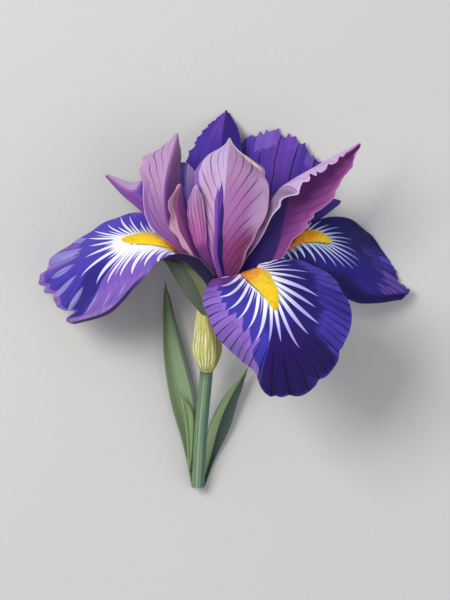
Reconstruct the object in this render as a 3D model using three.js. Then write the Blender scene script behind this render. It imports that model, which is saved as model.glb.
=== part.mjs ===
// A bearded iris flower on its cut stem, with its leaves, lying on its back.
//
// Millimetres, +Z up. The origin is on the surface, under the middle of the flower's box.
// +Y runs from the cut end of the stem to the tips of the upright petals, and +X is to the
// flower's right as it is looked at from above. The flower's own axis rises from the
// surface by about 20 degrees: the front fall arches over the stem, and the flower rests on
// the tips of its rear petals, the outer margins of its side falls, and its leaves.
//
// Each petal, leaf and style arm is a thin blade. Its middle surface runs through a net of
// points: rows from the foot to the tip, and in each row points from the left margin to the
// right one, as seen from above. Waves and cuts of the margins are formulas on top of it.

import * as THREE from 'three';

// Driving dimensions.
const PETAL_THICKNESS = 0.8;
const LEAF_THICKNESS = 0.8;
const SEAT_GAP = 0.35; // between pieces that touch
const STEM_RADIUS = 2.8;
const SPATHE_RADIUS = 6.3;
const SPATHE_PLEATS = 12;
const TUBE_RADIUS = 3.4;
const TUBE_RIM_RADIUS = 6.8;
const BEARD_HEIGHT = 2.2;

// Points along the flower's axis, from the cut end up.
const CUT_END = new THREE.Vector3(-12, -83.4, 4);
const STEM_TOP = new THREE.Vector3(-8.2, -32.4, 22);
const SPATHE_MIDDLE = new THREE.Vector3(-7.8, -18, 26.8);
const SPATHE_TOP = new THREE.Vector3(-7.6, -4.6, 31.4);
const HEART = new THREE.Vector3(0, 9, 37);
const FLOWER_AXIS = new THREE.Vector3(0.03, 0.945, 0.326).normalize();

const COLOURS = {
  stem: '#6f9a80',
  spathe: '#c5c463',
  bract: '#5d6656',
  leaf: '#6e8764',
  paleLeaf: '#87a569',
  fall: '#4a34b0',
  beard: '#f6b41d',
  standard: '#b57bc4',
  rearPetal: '#55379f',
  sidePetal: '#9a56b5',
  style: '#c98fc4',
  anther: '#e6dcb4',
};

// ---------------------------------------------------------------- thin blades

// The point at t from 0 to 1 along a smooth line through the given points.
function along(points, t) {
  const spans = points.length - 1;
  const span = Math.min(Math.floor(t * spans), spans - 1);
  const w = t * spans - span;
  const at = (index) => {
    if (index < 0) return mirrored(points[0], points[1]);
    if (index > spans) return mirrored(points[spans], points[spans - 1]);
    return points[index];
  };
  const [a, b, c, d] = [at(span - 1), at(span), at(span + 1), at(span + 2)];
  return b.map((_, k) => {
    const slope = (c[k] - a[k]) / 2;
    const nextSlope = (d[k] - b[k]) / 2;
    const rise = c[k] - b[k];
    return b[k] + w * (slope + w * (3 * rise - 2 * slope - nextSlope
      + w * (slope + nextSlope - 2 * rise)));
  });
}

// The point as far beyond `end` as `inner` is before it.
function mirrored(end, inner) {
  return end.map((value, k) => 2 * value - inner[k]);
}

// How strongly a place shows its margin: 0 up to `start`, then smoothly up to 1.
function nearMargin(distance, start) {
  const t = Math.min(Math.max((distance - start) / (1 - start), 0), 1);
  return t * t * (3 - 2 * t);
}

// How deep a margin's cuts are at s along it, from 0 to 1: points that stand out, or round
// lobes. The cuts may begin part of the way along.
function cutShape({ cuts, pointed, begin = 0 }, s) {
  if (s < begin) return 0;
  const wave = Math.abs(Math.sin((Math.PI * cuts * (s - begin)) / (1 - begin)));
  return pointed ? wave : 1 - wave;
}

// The middle surface of a blade. `point` takes u, from foot to tip, and v, from -1 at the
// left margin to 1 at the right one, and `normal` points away from what the flower lies on.
function bladeSurface({ net, tip = {}, left = {}, right = {} }) {
  const smooth = (u, v) => {
    const row = net[0].map((_, column) => along(net.map((points) => points[column]), u));
    return new THREE.Vector3(...along(row, (v + 1) / 2));
  };
  const turned = normalOf(smooth, 0.6, 0.05).z < 0 ? -1 : 1;
  const point = (u, v) => {
    const side = v < 0 ? left : right;
    const tipShare = nearMargin(u, 0.6);
    const sideShare = nearMargin(Math.abs(v), 0.5) * Math.min(1, 3 * u);
    const atTip = (v + 1) / 2;
    let [inU, inV, lift] = [u, v, 0];
    if (tip.cuts) inU -= tip.depth * cutShape(tip, atTip) * tipShare;
    if (side.cuts) inV -= Math.sign(v) * side.depth * cutShape(side, u) * sideShare;
    if (tip.waves) lift += tip.lift * tipShare * Math.sin(2 * Math.PI * tip.waves * atTip);
    if (side.waves) lift += side.lift * sideShare * Math.sin(2 * Math.PI * side.waves * u);
    return smooth(inU, inV).addScaledVector(normalOf(smooth, inU, inV), turned * lift);
  };
  const normal = (u, v) => normalOf(point, u, v).multiplyScalar(turned);
  return { point, normal };
}

// The unit normal of a surface, given as a function of u and v.
function normalOf(surface, u, v) {
  const step = 0.03;
  const up = surface(Math.min(u + step, 1), v).sub(surface(Math.max(u - step, 0), v));
  const over = surface(u, Math.min(v + step, 1)).sub(surface(u, Math.max(v - step, -1)));
  return over.cross(up).normalize();
}

// A closed body between two grids of points with the same number of rows and columns. The
// faces of both grids are split along the same diagonals.
function closedBetween(top, bottom) {
  const rows = top.length;
  const columns = top[0].length;
  const points = [...top.flat(), ...bottom.flat()];
  const upper = (i, j) => i * columns + j;
  const lower = (i, j) => rows * columns + i * columns + j;
  const triangles = [];
  const quad = (a, b, c, d) => triangles.push([a, b, c], [a, c, d]);
  for (let i = 0; i < rows - 1; i += 1) {
    for (let j = 0; j < columns - 1; j += 1) {
      quad(upper(i, j), upper(i, j + 1), upper(i + 1, j + 1), upper(i + 1, j));
      triangles.push([lower(i, j), lower(i + 1, j + 1), lower(i, j + 1)]);
      triangles.push([lower(i, j), lower(i + 1, j), lower(i + 1, j + 1)]);
    }
  }
  const last = columns - 1;
  const end = rows - 1;
  for (let j = 0; j < last; j += 1) {
    quad(upper(0, j), lower(0, j), lower(0, j + 1), upper(0, j + 1));
    quad(upper(end, j + 1), lower(end, j + 1), lower(end, j), upper(end, j));
  }
  for (let i = 0; i < end; i += 1) {
    quad(upper(i + 1, 0), lower(i + 1, 0), lower(i, 0), upper(i, 0));
    quad(upper(i, last), lower(i, last), lower(i + 1, last), upper(i + 1, last));
  }
  return closedGeometry(points, triangles);
}

// A geometry whose faces point out, whichever way round the triangles were listed.
function closedGeometry(points, triangles) {
  const volume = triangles.reduce((sum, [a, b, c]) => (
    sum + points[a].dot(points[b].clone().cross(points[c]))), 0);
  const outward = volume > 0 ? triangles : triangles.map(([a, b, c]) => [a, c, b]);
  const geometry = new THREE.BufferGeometry().setFromPoints(points);
  geometry.setIndex(outward.flat());
  geometry.computeVertexNormals();
  return geometry;
}

// A blade of even thickness about a surface, split into rows by columns of cells.
function bladeGeometry(surface, { rows, columns, thickness }) {
  const face = (offset) => Array.from({ length: rows + 1 }, (_, i) => (
    Array.from({ length: columns + 1 }, (__, j) => {
      const [u, v] = [i / rows, (2 * j) / columns - 1];
      return surface.point(u, v).addScaledVector(surface.normal(u, v), offset);
    })));
  return closedBetween(face(thickness / 2), face(-thickness / 2));
}

// ---------------------------------------------------------------- the flower's blades

const BLADES = {
  fall_front: {
    colour: COLOURS.fall, rows: 10, columns: 24, thickness: PETAL_THICKNESS,
    net: [
      [[-2, 9.1, 44.3], [-1.1, 9.2, 44.5], [-0.2, 9.3, 44.6], [0.7, 9.4, 44.7],
        [1.6, 9.5, 44.7], [2.5, 9.6, 44.6], [3.4, 9.8, 44.4], [4.3, 10, 44.1],
        [5.2, 10.2, 43.7], [6.1, 10.5, 43.2], [7, 10.8, 42.7]],
      [[-5, 8, 49], [-3, 5.5, 56], [1.5, 1.5, 64], [8, -1.5, 70],
        [13.5, -2.5, 74], [18.5, 0, 76], [22, 3.5, 75], [23.5, 7.5, 72],
        [23, 11.5, 67], [19.5, 13.5, 60], [14, 13.5, 52]],
      [[-6, 7, 49], [-5.5, 0, 60], [0, -11.5, 68], [8.5, -20, 73],
        [17, -23.5, 76], [26.5, -22.5, 77], [36, -16.5, 77], [41, -5.5, 75],
        [37.5, 7.5, 70], [27.5, 16.5, 61], [15, 14.5, 52]],
      [[-7, 6.5, 49], [-7.5, -4.5, 57], [-1.5, -20.5, 59], [11.5, -31.5, 61],
        [18.5, -40.5, 62], [33, -42.5, 62], [47, -31.5, 63], [54, -14.5, 64],
        [49, 5.5, 62], [33.5, 18, 57], [16, 15, 50]],
    ],
    tip: { waves: 3, lift: 1.6, cuts: 6, depth: 0.05 },
  },
  fall_left: {
    colour: COLOURS.fall, rows: 16, columns: 12, thickness: PETAL_THICKNESS,
    net: [
      [[-4.6, 10.2, 47], [-5, 6.3, 44.5], [-6, 4, 39.5], [-8.5, 7.5, 36.3], [-9.2, 13, 35.2]],
      [[-12.5, 18, 49], [-12.3, 14, 45], [-13, 12, 39], [-16, 18, 33.5], [-18, 24.5, 31]],
      [[-25.5, 18.5, 51], [-25.5, 17.5, 48.5], [-28.5, 23.5, 43.5], [-32, 29.5, 34.5], [-33, 37, 28]],
      [[-38, 6, 49.5], [-41.5, 13.5, 49], [-45, 22.5, 45], [-47.5, 29.5, 35], [-49, 35, 24]],
      [[-50.2, -6.3, 41], [-54.5, 3.5, 42], [-59, 12.5, 37], [-63, 20, 24], [-64.5, 26.5, 11]],
      [[-67.5, -11.5, 22], [-74, -4.5, 16], [-80, 2.5, 9], [-82, 10.5, 2], [-77.5, 18.5, 0.6]],
    ],
    tip: { waves: 2, lift: 1.2, cuts: 5, depth: 0.03 },
  },
  fall_right: {
    colour: COLOURS.fall, rows: 14, columns: 10, thickness: PETAL_THICKNESS,
    net: [
      [[7.5, 8.1, 37.7], [7.9, 8.9, 36.4], [8, 9.9, 35.2], [7.7, 11.1, 34.6], [7.2, 12.1, 34.1]],
      [[19.5, 11, 36], [20.5, 16, 37], [21.5, 19.5, 35.5], [22.5, 23, 32.5], [23.5, 26, 29.5]],
      [[33, 13.5, 34], [34, 19, 36], [35, 24.5, 34], [35.5, 28.5, 30], [36.5, 33, 25.5]],
      [[45.5, 4.5, 26], [46.5, 12.5, 29], [49, 21, 26], [51, 28.5, 20], [52.5, 36, 14]],
      [[60.5, -2, 15], [63.5, 4, 18], [66, 12.5, 13], [66, 20, 6.7], [65, 28, 2.6]],
      [[78.5, -0.5, 7], [82, 3.5, 5], [77.5, 7, 2.7], [76, 12, 1.1], [72.5, 17.5, 0.2]],
    ],
  },
  standard_centre: {
    colour: COLOURS.standard, rows: 14, columns: 8, thickness: PETAL_THICKNESS,
    net: [
      [[-4.5, 9.2, 40.5], [-2.5, 8.9, 41.5], [-0.5, 8.8, 42], [2, 8.9, 41.8], [4.5, 9.3, 40.8]],
      [[-9, 19, 44], [-6, 18.5, 46], [-2.5, 19, 47], [4, 20.5, 49], [10.5, 20.5, 46]],
      [[-12, 32, 46], [-7, 31.5, 49], [-1.5, 31.5, 50], [8, 33, 53], [16.5, 33, 49]],
      [[-13, 46, 47], [-7.5, 45.5, 50], [0, 44.5, 52], [10, 46.5, 56], [19, 46, 51]],
      [[-11, 58.5, 46], [-5, 58, 50], [1, 57, 53], [8.5, 57, 55], [15, 57, 50]],
      [[-0.5, 68, 45], [1, 69, 46], [2, 70, 47], [3.5, 69, 46.5], [5, 68, 46]],
    ],
    right: { waves: 3, lift: 0.8 },
  },
  standard_left: {
    colour: COLOURS.standard, rows: 14, columns: 8, thickness: PETAL_THICKNESS,
    net: [
      [[-6.5, 9.8, 37.5], [-6, 9.6, 38.3], [-5.3, 9.5, 38.9], [-4.3, 9.8, 38.8], [-3.3, 10.3, 38.2]],
      [[-20, 20.4, 45.6], [-19, 21, 45.9], [-17.6, 22, 45.7], [-15.2, 23, 43.8], [-12.8, 24.5, 41.3]],
      [[-32.6, 32.5, 42.5], [-29.5, 32.5, 45], [-25, 33, 47], [-21.5, 34.5, 43.5], [-18, 36, 39]],
      [[-36.2, 48.5, 35], [-31.5, 48, 40.5], [-26.5, 47, 45], [-23, 48, 40.5], [-20, 49, 35.5]],
      [[-35.2, 60.5, 31], [-30, 60.3, 36], [-24.5, 60, 41], [-22, 60.5, 37], [-19.5, 62, 32]],
      [[-24, 69.5, 33], [-23, 71.5, 34.5], [-21, 72.5, 35.5], [-20, 70.5, 34.5], [-19.5, 68.5, 33]],
    ],
    left: { waves: 3, lift: 0.8 },
  },
  standard_right: {
    colour: COLOURS.standard, rows: 20, columns: 10, thickness: PETAL_THICKNESS,
    net: [
      [[4.4, 10.4, 40], [3.6, 10.4, 39.2], [4.8, 9.8, 38.6], [6, 9.8, 38], [7, 10.3, 37.4]],
      [[14, 23.5, 44.5], [11.5, 22, 42.5], [15, 20, 40.8], [19, 18, 41], [23, 16, 42.2]],
      [[22, 37.5, 48.5], [17.5, 37, 45.5], [22, 33.5, 42], [27.5, 30, 41.5], [32.5, 28, 43.5]],
      [[30, 46, 51], [24.5, 48, 47.5], [30, 43.5, 42.5], [36, 39.5, 42], [42, 38.5, 44.5]],
      [[42.5, 55, 51], [40.5, 58, 48.5], [44, 54.5, 43.5], [48, 52, 43], [52, 51.5, 45]],
      [[58, 66.5, 48.7], [59, 67.8, 48], [59, 66.5, 47], [58, 65, 46.5], [56.5, 63, 46.3]],
    ],
    right: { waves: 4, lift: 0.7, cuts: 6, begin: 0.2, depth: 0.14 },
  },
  rear_petal_left: {
    colour: COLOURS.rearPetal, rows: 24, columns: 8, thickness: PETAL_THICKNESS,
    net: [
      [[-4.4, 11.4, 32.6], [-3.5, 11.6, 32.1], [-2.6, 11.8, 31.7], [-1.8, 11.9, 31.5], [-1, 12, 31.4]],
      [[-12.5, 27.5, 28.5], [-9.5, 27.5, 28], [-5, 27.5, 27], [-0.5, 28, 28], [3.5, 28, 29]],
      [[-17.5, 44.5, 23], [-11, 44, 21.5], [-3.5, 44, 20], [2.5, 44, 21.5], [9, 44, 23]],
      [[-17.5, 61.5, 14], [-10.5, 61.5, 12.5], [-2, 61, 11], [2.5, 61.5, 13], [7.5, 62.5, 15]],
      [[-10, 75, 5], [-6, 73.5, 4.5], [-1, 73, 3.5], [2.5, 73.5, 5], [6, 74.5, 7]],
      [[-1, 82.5, 0.6], [0, 83, 0.5], [0.5, 84, 0.4], [1, 83, 0.5], [2, 82.5, 0.6]],
    ],
    left: { cuts: 6, begin: 0.5, depth: 0.2, pointed: true },
  },
  rear_petal_right: {
    colour: COLOURS.rearPetal, rows: 9, columns: 27, thickness: PETAL_THICKNESS,
    net: [
      [[0, 12, 31], [0.8, 12, 31], [1.6, 11.9, 31.1], [2.3, 11.8, 31.3], [3, 11.7, 31.6]],
      [[3, 26.5, 25], [7, 26.5, 24], [11, 26.5, 23.5], [15, 25.5, 23.5], [19.5, 24, 24]],
      [[6, 43.5, 17], [12, 43, 15.5], [19, 42, 15], [26, 40, 16], [33, 37.5, 18]],
      [[6, 60.5, 8], [14, 61, 7.5], [22.5, 61, 7.5], [31.5, 58, 9.5], [40, 51.5, 13]],
      [[7.5, 70.5, 2.2], [16, 75, 0.9], [26, 75.5, 0.9], [35, 69.5, 1.4], [43, 60.5, 5]],
    ],
    tip: { cuts: 9, depth: 0.06, pointed: true, waves: 3, lift: 0.6 },
  },
  side_petal_left: {
    colour: COLOURS.sidePetal, rows: 9, columns: 4, thickness: PETAL_THICKNESS,
    net: [
      [[-6.9, 10.9, 34.8], [-6.2, 11.1, 34.2], [-5.6, 11.3, 33.6]],
      [[-24, 26.5, 26.5], [-23, 29, 28], [-21, 30.5, 26]],
      [[-38.5, 40, 22], [-36, 45, 26], [-33, 50.5, 21]],
      [[-45.5, 46, 18], [-43.5, 47.5, 22], [-41.5, 51, 19]],
      [[-53, 54.2, 14], [-52.5, 54.5, 15], [-52, 55, 14]],
    ],
  },
  side_petal_right: {
    colour: COLOURS.sidePetal, rows: 9, columns: 4, thickness: PETAL_THICKNESS,
    net: [
      [[3.8, 11.9, 32.7], [4.5, 11.7, 33.1], [5.2, 11.5, 33.5]],
      [[22, 20.5, 28.5], [23, 23, 28.5], [24, 25.5, 27]],
      [[37, 31.5, 22.5], [39, 36, 24], [40.5, 40.5, 22]],
      [[45, 37.5, 20], [46, 40.5, 22], [46.5, 44, 20]],
      [[50.3, 41.6, 18], [51, 42.5, 18.5], [51.3, 43.2, 18]],
    ],
  },
  style_striped: {
    colour: COLOURS.style, rows: 9, columns: 4, thickness: PETAL_THICKNESS,
    net: [
      [[-5.9, 9.9, 43.4], [-4.9, 9.8, 43.9], [-4, 9.7, 43.6]],
      [[-11.8, 20.5, 47], [-10, 21, 48.9], [-7.5, 21.5, 48]],
      [[-15.5, 32, 48], [-12, 32.5, 52], [-8.5, 33, 51]],
      [[-16, 41.5, 49], [-13.5, 42.5, 54], [-10, 43.5, 53]],
      [[-13.5, 48.5, 51], [-12.5, 49.5, 51.5], [-12, 48.5, 51.5]],
    ],
  },
  style_curled: {
    colour: COLOURS.style, rows: 9, columns: 4, thickness: PETAL_THICKNESS,
    net: [
      [[-7.3, 10.4, 40.5], [-6.5, 10.2, 41], [-5.7, 10.2, 40.6]],
      [[-16.5, 20.5, 48], [-14.8, 20.5, 48], [-12.2, 21, 44.8]],
      [[-23, 29.5, 50], [-19.5, 31, 48.6], [-15.5, 31.5, 45.2]],
      [[-24.5, 40.5, 51.5], [-22.5, 40.5, 48.5], [-18, 41, 46]],
      [[-20.5, 49.5, 49], [-19.5, 50, 48.5], [-18.5, 48.5, 47]],
    ],
  },
  style_rear: {
    colour: COLOURS.style, rows: 9, columns: 4, thickness: PETAL_THICKNESS,
    net: [
      [[-2.5, 10, 36.5], [-1.5, 9.8, 36.9], [-0.5, 9.9, 36.6]],
      [[-14, 25.5, 33], [-11.5, 25.5, 35], [-9, 25.5, 34]],
      [[-19, 41, 30], [-15.5, 40.5, 33], [-11, 40.5, 32]],
      [[-21, 52, 27], [-17, 52, 31], [-12.5, 51, 30]],
      [[-19.5, 60, 26], [-16.5, 59.5, 28.5], [-13, 55.5, 28]],
    ],
  },
  bract: {
    colour: COLOURS.bract, rows: 10, columns: 4, thickness: LEAF_THICKNESS,
    net: [
      [[-10.4, -6.5, 35.4], [-9, -7, 36.3], [-7.8, -5.5, 36.7]],
      [[-16, 0, 35], [-12.5, 0.5, 37.2], [-8.5, 3.2, 36.6]],
      [[-21.5, 8.5, 35.6], [-18, 10.3, 38.2], [-13, 11, 37]],
      [[-25, 14.5, 36.6], [-23, 16, 38.9], [-19.5, 16.5, 37.9]],
      [[-26.8, 16.6, 37.4], [-26.5, 17, 37.9], [-26, 17.2, 37.9]],
    ],
  },
  leaf_left: {
    colour: COLOURS.leaf, rows: 12, columns: 4, thickness: LEAF_THICKNESS,
    net: [
      [[-14.6, -84.2, 1.4], [-13.5, -84.2, 0.6], [-12.3, -84.2, 0.5]],
      [[-18.5, -65.5, 2.6], [-15.5, -64.5, 1], [-11.5, -63, 1.5]],
      [[-24, -46, 4], [-20, -45, 2], [-13, -43.5, 4]],
      [[-27, -26.5, 6], [-24, -25, 4], [-18, -24, 7]],
      [[-27.5, -8.5, 7], [-26, -8, 6], [-22.5, -8, 7.5]],
      [[-27, 7, 7.5], [-26.5, 7.5, 7.5], [-26, 7, 7.5]],
    ],
  },
  leaf_left_small: {
    colour: COLOURS.paleLeaf, rows: 8, columns: 2, thickness: LEAF_THICKNESS,
    net: [
      [[-16.3, -76.5, 3.4], [-15.8, -76.5, 3], [-15.2, -76.5, 3.4]],
      [[-16.8, -63, 4.8], [-15.6, -63, 4], [-14.2, -63, 5]],
      [[-18, -51.5, 6.2], [-16.5, -51, 5.2], [-14.6, -50.5, 7]],
      [[-20.3, -41.7, 7.5], [-20, -41.3, 7.5], [-19.6, -41.6, 7.5]],
    ],
  },
  leaf_right: {
    colour: COLOURS.leaf, rows: 12, columns: 4, thickness: LEAF_THICKNESS,
    net: [
      [[-11.6, -84.2, 0.5], [-10.6, -84.2, 0.6], [-9.3, -84.2, 1.2]],
      [[-9.8, -73, 1.4], [-7, -73, 0.8], [-4.8, -72, 2.2]],
      [[-7, -57.5, 4], [-2.5, -56, 1.6], [2, -57.5, 4]],
      [[-0.5, -44, 7], [2.5, -44, 4], [6, -44, 6.5]],
      [[8.5, -31.5, 10], [10, -31, 9], [11.5, -31, 9.5]],
    ],
  },
};

// ---------------------------------------------------------------- beards

// A raised crescent on a fall, clear of its face. Its two long edges are lines of u and v
// on the fall, from the end at the throat to the outer one.
function beardGeometry(surface, { upperEdge, lowerEdge }) {
  const rows = 12;
  const columns = 6;
  const edgeRise = 0.7;
  const hollowTuft = 0.72;
  const seat = PETAL_THICKNESS / 2 + SEAT_GAP;
  const top = [];
  const bottom = [];
  for (let i = 0; i <= rows; i += 1) {
    const t = i / rows;
    const [upper, lower] = [along(upperEdge, t), along(lowerEdge, t)];
    const swell = Math.sin(Math.PI * (0.1 + 0.85 * t));
    const rowTop = [];
    const rowBottom = [];
    for (let j = 0; j <= columns; j += 1) {
      const share = j / columns;
      const [u, v] = lower.map((value, k) => value + share * (upper[k] - value));
      const tuft = (i + j) % 2 ? 1 : hollowTuft;
      const rise = edgeRise + BEARD_HEIGHT * tuft * 4 * share * (1 - share) * swell;
      const foot = surface.point(u, v);
      const normal = surface.normal(u, v);
      rowBottom.push(foot.clone().addScaledVector(normal, seat));
      rowTop.push(foot.clone().addScaledVector(normal, seat + rise));
    }
    top.push(rowTop);
    bottom.push(rowBottom);
  }
  return closedBetween(top, bottom);
}

const BEARDS = {
  beard_front: {
    on: 'fall_front',
    upperEdge: [[0.05, 0.5], [0.2, 0.84], [0.24, 0.6], [0.29, 0.34], [0.35, 0.19], [0.42, 0.04]],
    lowerEdge: [[0.05, 0.44], [0.11, 0.2], [0.17, 0.06], [0.25, -0.01], [0.33, -0.02], [0.42, 0]],
  },
  beard_left: {
    on: 'fall_left',
    upperEdge: [[0.3, 0.3], [0.34, 0.36], [0.39, 0.35], [0.47, 0.27], [0.53, 0.22], [0.585, 0.17]],
    lowerEdge: [[0.3, 0.14], [0.34, 0.01], [0.39, -0.07], [0.47, -0.07], [0.54, -0.01], [0.585, 0.12]],
  },
  beard_right: {
    on: 'fall_right',
    upperEdge: [[0.3, -0.1], [0.34, 0.1], [0.385, 0.52], [0.44, 0.56], [0.5, 0.38], [0.55, 0.19]],
    lowerEdge: [[0.3, -0.18], [0.34, -0.06], [0.385, 0], [0.44, 0.03], [0.5, 0.09], [0.55, 0.14]],
  },
};

// ---------------------------------------------------------------- stalk, tube and stamens

// A closed body of rings along a line, with flat ends. `radiusAt` gives a ring's radius by
// its place along the body, from 0 to 1, and the angle round it.
function loftGeometry(line, { from = 0, to = 1, rings, sides, radiusAt }) {
  const points = [];
  const triangles = [];
  for (let i = 0; i <= rings; i += 1) {
    const t = i / rings;
    const place = from + (to - from) * t;
    const centre = line.getPointAt(place);
    const forward = line.getTangentAt(place);
    const side = new THREE.Vector3(0, 0, 1).cross(forward).normalize();
    const raised = forward.clone().cross(side);
    for (let k = 0; k < sides; k += 1) {
      const angle = (2 * Math.PI * k) / sides;
      const radius = radiusAt(t, angle);
      points.push(centre.clone().addScaledVector(side, radius * Math.cos(angle))
        .addScaledVector(raised, radius * Math.sin(angle)));
    }
  }
  points.push(line.getPointAt(from), line.getPointAt(to));
  const firstCentre = (rings + 1) * sides;
  for (let k = 0; k < sides; k += 1) {
    const next = (k + 1) % sides;
    for (let i = 0; i < rings; i += 1) {
      const [a, b] = [i * sides + k, i * sides + next];
      triangles.push([a, b, b + sides], [a, b + sides, a + sides]);
    }
    triangles.push([firstCentre, next, k]);
    triangles.push([firstCentre + 1, rings * sides + k, rings * sides + next]);
  }
  return closedGeometry(points, triangles);
}

// A value read off a smooth profile of evenly spaced radii.
const profile = (radii) => (t) => along(radii.map((radius) => [radius]), t)[0];

// The line that the stem, the spathe and the floral tube share.
const TUBE_TOP = HEART.clone().addScaledVector(FLOWER_AXIS, -0.3);
const STALK = new THREE.CatmullRomCurve3([
  CUT_END,
  new THREE.Vector3(-10.6, -58, 12.2),
  STEM_TOP,
  SPATHE_MIDDLE,
  SPATHE_TOP,
  TUBE_TOP.clone().addScaledVector(FLOWER_AXIS, -5),
  TUBE_TOP,
]);

// The place along the stalk line, from 0 to 1, that is nearest to a point.
function stalkPlace(point) {
  const steps = 400;
  const places = Array.from({ length: steps + 1 }, (_, i) => i / steps);
  const gap = (place) => STALK.getPointAt(place).distanceTo(point);
  return places.reduce((best, place) => (gap(place) < gap(best) ? place : best));
}

const STALK_GAP = SEAT_GAP / STALK.getLength();
const stemEnd = stalkPlace(STEM_TOP);
const spatheEnd = stalkPlace(SPATHE_TOP);

function stemGeometry() {
  return loftGeometry(STALK, {
    to: stemEnd, rings: 9, sides: 12, radiusAt: () => STEM_RADIUS,
  });
}

function spatheGeometry() {
  const pleatDepth = 0.035;
  const shares = [0.45, 0.8, 1, 0.97, 0.86, 0.75, 0.68];
  const radius = profile(shares.map((share) => share * SPATHE_RADIUS));
  return loftGeometry(STALK, {
    from: stemEnd + STALK_GAP,
    to: spatheEnd,
    rings: 11,
    sides: 2 * SPATHE_PLEATS,
    radiusAt: (t, angle) => radius(t) * (1 + pleatDepth * Math.cos(SPATHE_PLEATS * angle)),
  });
}

function tubeGeometry() {
  const radius = profile([
    TUBE_RADIUS, TUBE_RADIUS, 1.1 * TUBE_RADIUS, 1.35 * TUBE_RADIUS, TUBE_RIM_RADIUS,
  ]);
  return loftGeometry(STALK, {
    from: spatheEnd + 2 * STALK_GAP, to: 1, rings: 8, sides: 18, radiusAt: radius,
  });
}

// A stamen: a thin filament and the long two-lobed anther at its end.
function stamenGeometry(foot, bend, tip) {
  const filament = 0.6;
  const anther = 1.3;
  const antherFrom = 0.5;
  const groove = 0.18;
  const radius = profile([filament, filament, filament, anther, anther, anther, 0.5 * anther]);
  const flattened = (t, angle) => (t > antherFrom ? 1 - groove * Math.abs(Math.cos(angle)) : 1);
  return loftGeometry(new THREE.CatmullRomCurve3([foot, bend, tip]), {
    rings: 10, sides: 8, radiusAt: (t, angle) => radius(t) * flattened(t, angle),
  });
}

const STAMENS = {
  stamen_left: [[-2.4, 10.2, 34.8], [-5, 22, 33], [-6.5, 36, 33.5]],
  stamen_centre: [[1.2, 9.9, 35.6], [2, 22, 37.5], [3, 38, 39]],
  stamen_right: [[2.8, 10.1, 34.6], [7.5, 21, 34], [13, 34, 34.5]],
};

// ---------------------------------------------------------------- the flower

const flower = new THREE.Group();

function addPiece(name, geometry, colour, roughness = 0.6) {
  const material = new THREE.MeshStandardMaterial({ color: colour, roughness, metalness: 0 });
  const mesh = new THREE.Mesh(geometry, material);
  mesh.name = name;
  flower.add(mesh);
}

addPiece('stem', stemGeometry(), COLOURS.stem);
addPiece('spathe', spatheGeometry(), COLOURS.spathe);
addPiece('floral_tube', tubeGeometry(), COLOURS.spathe);
for (const [name, blade] of Object.entries(BLADES)) {
  addPiece(name, bladeGeometry(bladeSurface(blade), blade), blade.colour);
}
for (const [name, beard] of Object.entries(BEARDS)) {
  addPiece(name, beardGeometry(bladeSurface(BLADES[beard.on]), beard), COLOURS.beard, 0.9);
}
for (const [name, points] of Object.entries(STAMENS)) {
  addPiece(name, stamenGeometry(...points.map((point) => new THREE.Vector3(...point))), COLOURS.anther);
}

export default flower;
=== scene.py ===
# %% [markdown]
# # A bearded iris
#
# The real flower is a cut stem with a few sword leaves, a pleated sheath, and on top of it
# a ring of thin petals: three that hang, with a beard on each, and the upright ones, with
# small petal-like style arms in the middle. It lies on its back, so the camera looks down
# on it. Shapes are given in millimetres, and the floor, the lamps and the camera in metres.

import math

import bpy
import numpy as np
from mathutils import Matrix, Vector


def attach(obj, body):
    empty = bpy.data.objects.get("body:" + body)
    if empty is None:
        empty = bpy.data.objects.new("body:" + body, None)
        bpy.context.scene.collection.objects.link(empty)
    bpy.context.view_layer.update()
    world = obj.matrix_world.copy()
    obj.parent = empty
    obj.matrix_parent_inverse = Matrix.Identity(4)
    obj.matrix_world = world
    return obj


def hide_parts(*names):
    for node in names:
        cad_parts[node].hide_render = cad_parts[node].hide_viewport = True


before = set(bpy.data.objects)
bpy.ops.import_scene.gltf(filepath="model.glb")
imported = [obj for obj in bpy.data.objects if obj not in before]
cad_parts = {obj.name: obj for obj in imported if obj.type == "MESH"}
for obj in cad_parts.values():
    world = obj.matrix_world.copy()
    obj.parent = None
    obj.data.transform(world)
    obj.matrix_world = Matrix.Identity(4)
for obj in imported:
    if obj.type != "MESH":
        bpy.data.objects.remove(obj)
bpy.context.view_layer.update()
MM = 0.001

# %% [markdown]
# ## Shader arithmetic
#
# Everything that is painted on a petal is arithmetic on its coordinates. It could be drawn
# node by node, but then nobody could read it. A small class wraps one output of a node, and
# its operators add the Math nodes, so that a pattern reads like a formula.

# %% A shader value with operators


def operation(name):
    """A method that joins a value to another one by one Math node."""
    return lambda value, other: value.math(name, other)


class Shade:
    """One output in a material, with arithmetic on it."""

    def __init__(self, paint, output):
        self.paint = paint
        self.output = output

    def math(self, name, *others):
        return self.paint.node("ShaderNodeMath", {"operation": name}, [self, *others])

    __add__ = __radd__ = operation("ADD")
    __sub__ = operation("SUBTRACT")
    __mul__ = __rmul__ = operation("MULTIPLY")
    __truediv__ = operation("DIVIDE")
    most = operation("MAXIMUM")

    def __rsub__(self, other):
        return self.paint.node("ShaderNodeMath", {"operation": "SUBTRACT"}, [other, self])

    def __neg__(self):
        return self * -1

    def over(self, low, high):
        """0 below `low`, 1 above `high`, and smooth between them."""
        return self.paint.node(
            "ShaderNodeMapRange", {"interpolation_type": "SMOOTHSTEP"}, [self, low, high])

    def under(self, low, high):
        """1 below `low`, 0 above `high`."""
        return 1 - self.over(low, high)

    def within(self, low, high, soft):
        """1 between `low` and `high`, with soft edges."""
        return self.over(low - soft, low + soft) * self.under(high - soft, high + soft)


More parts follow.
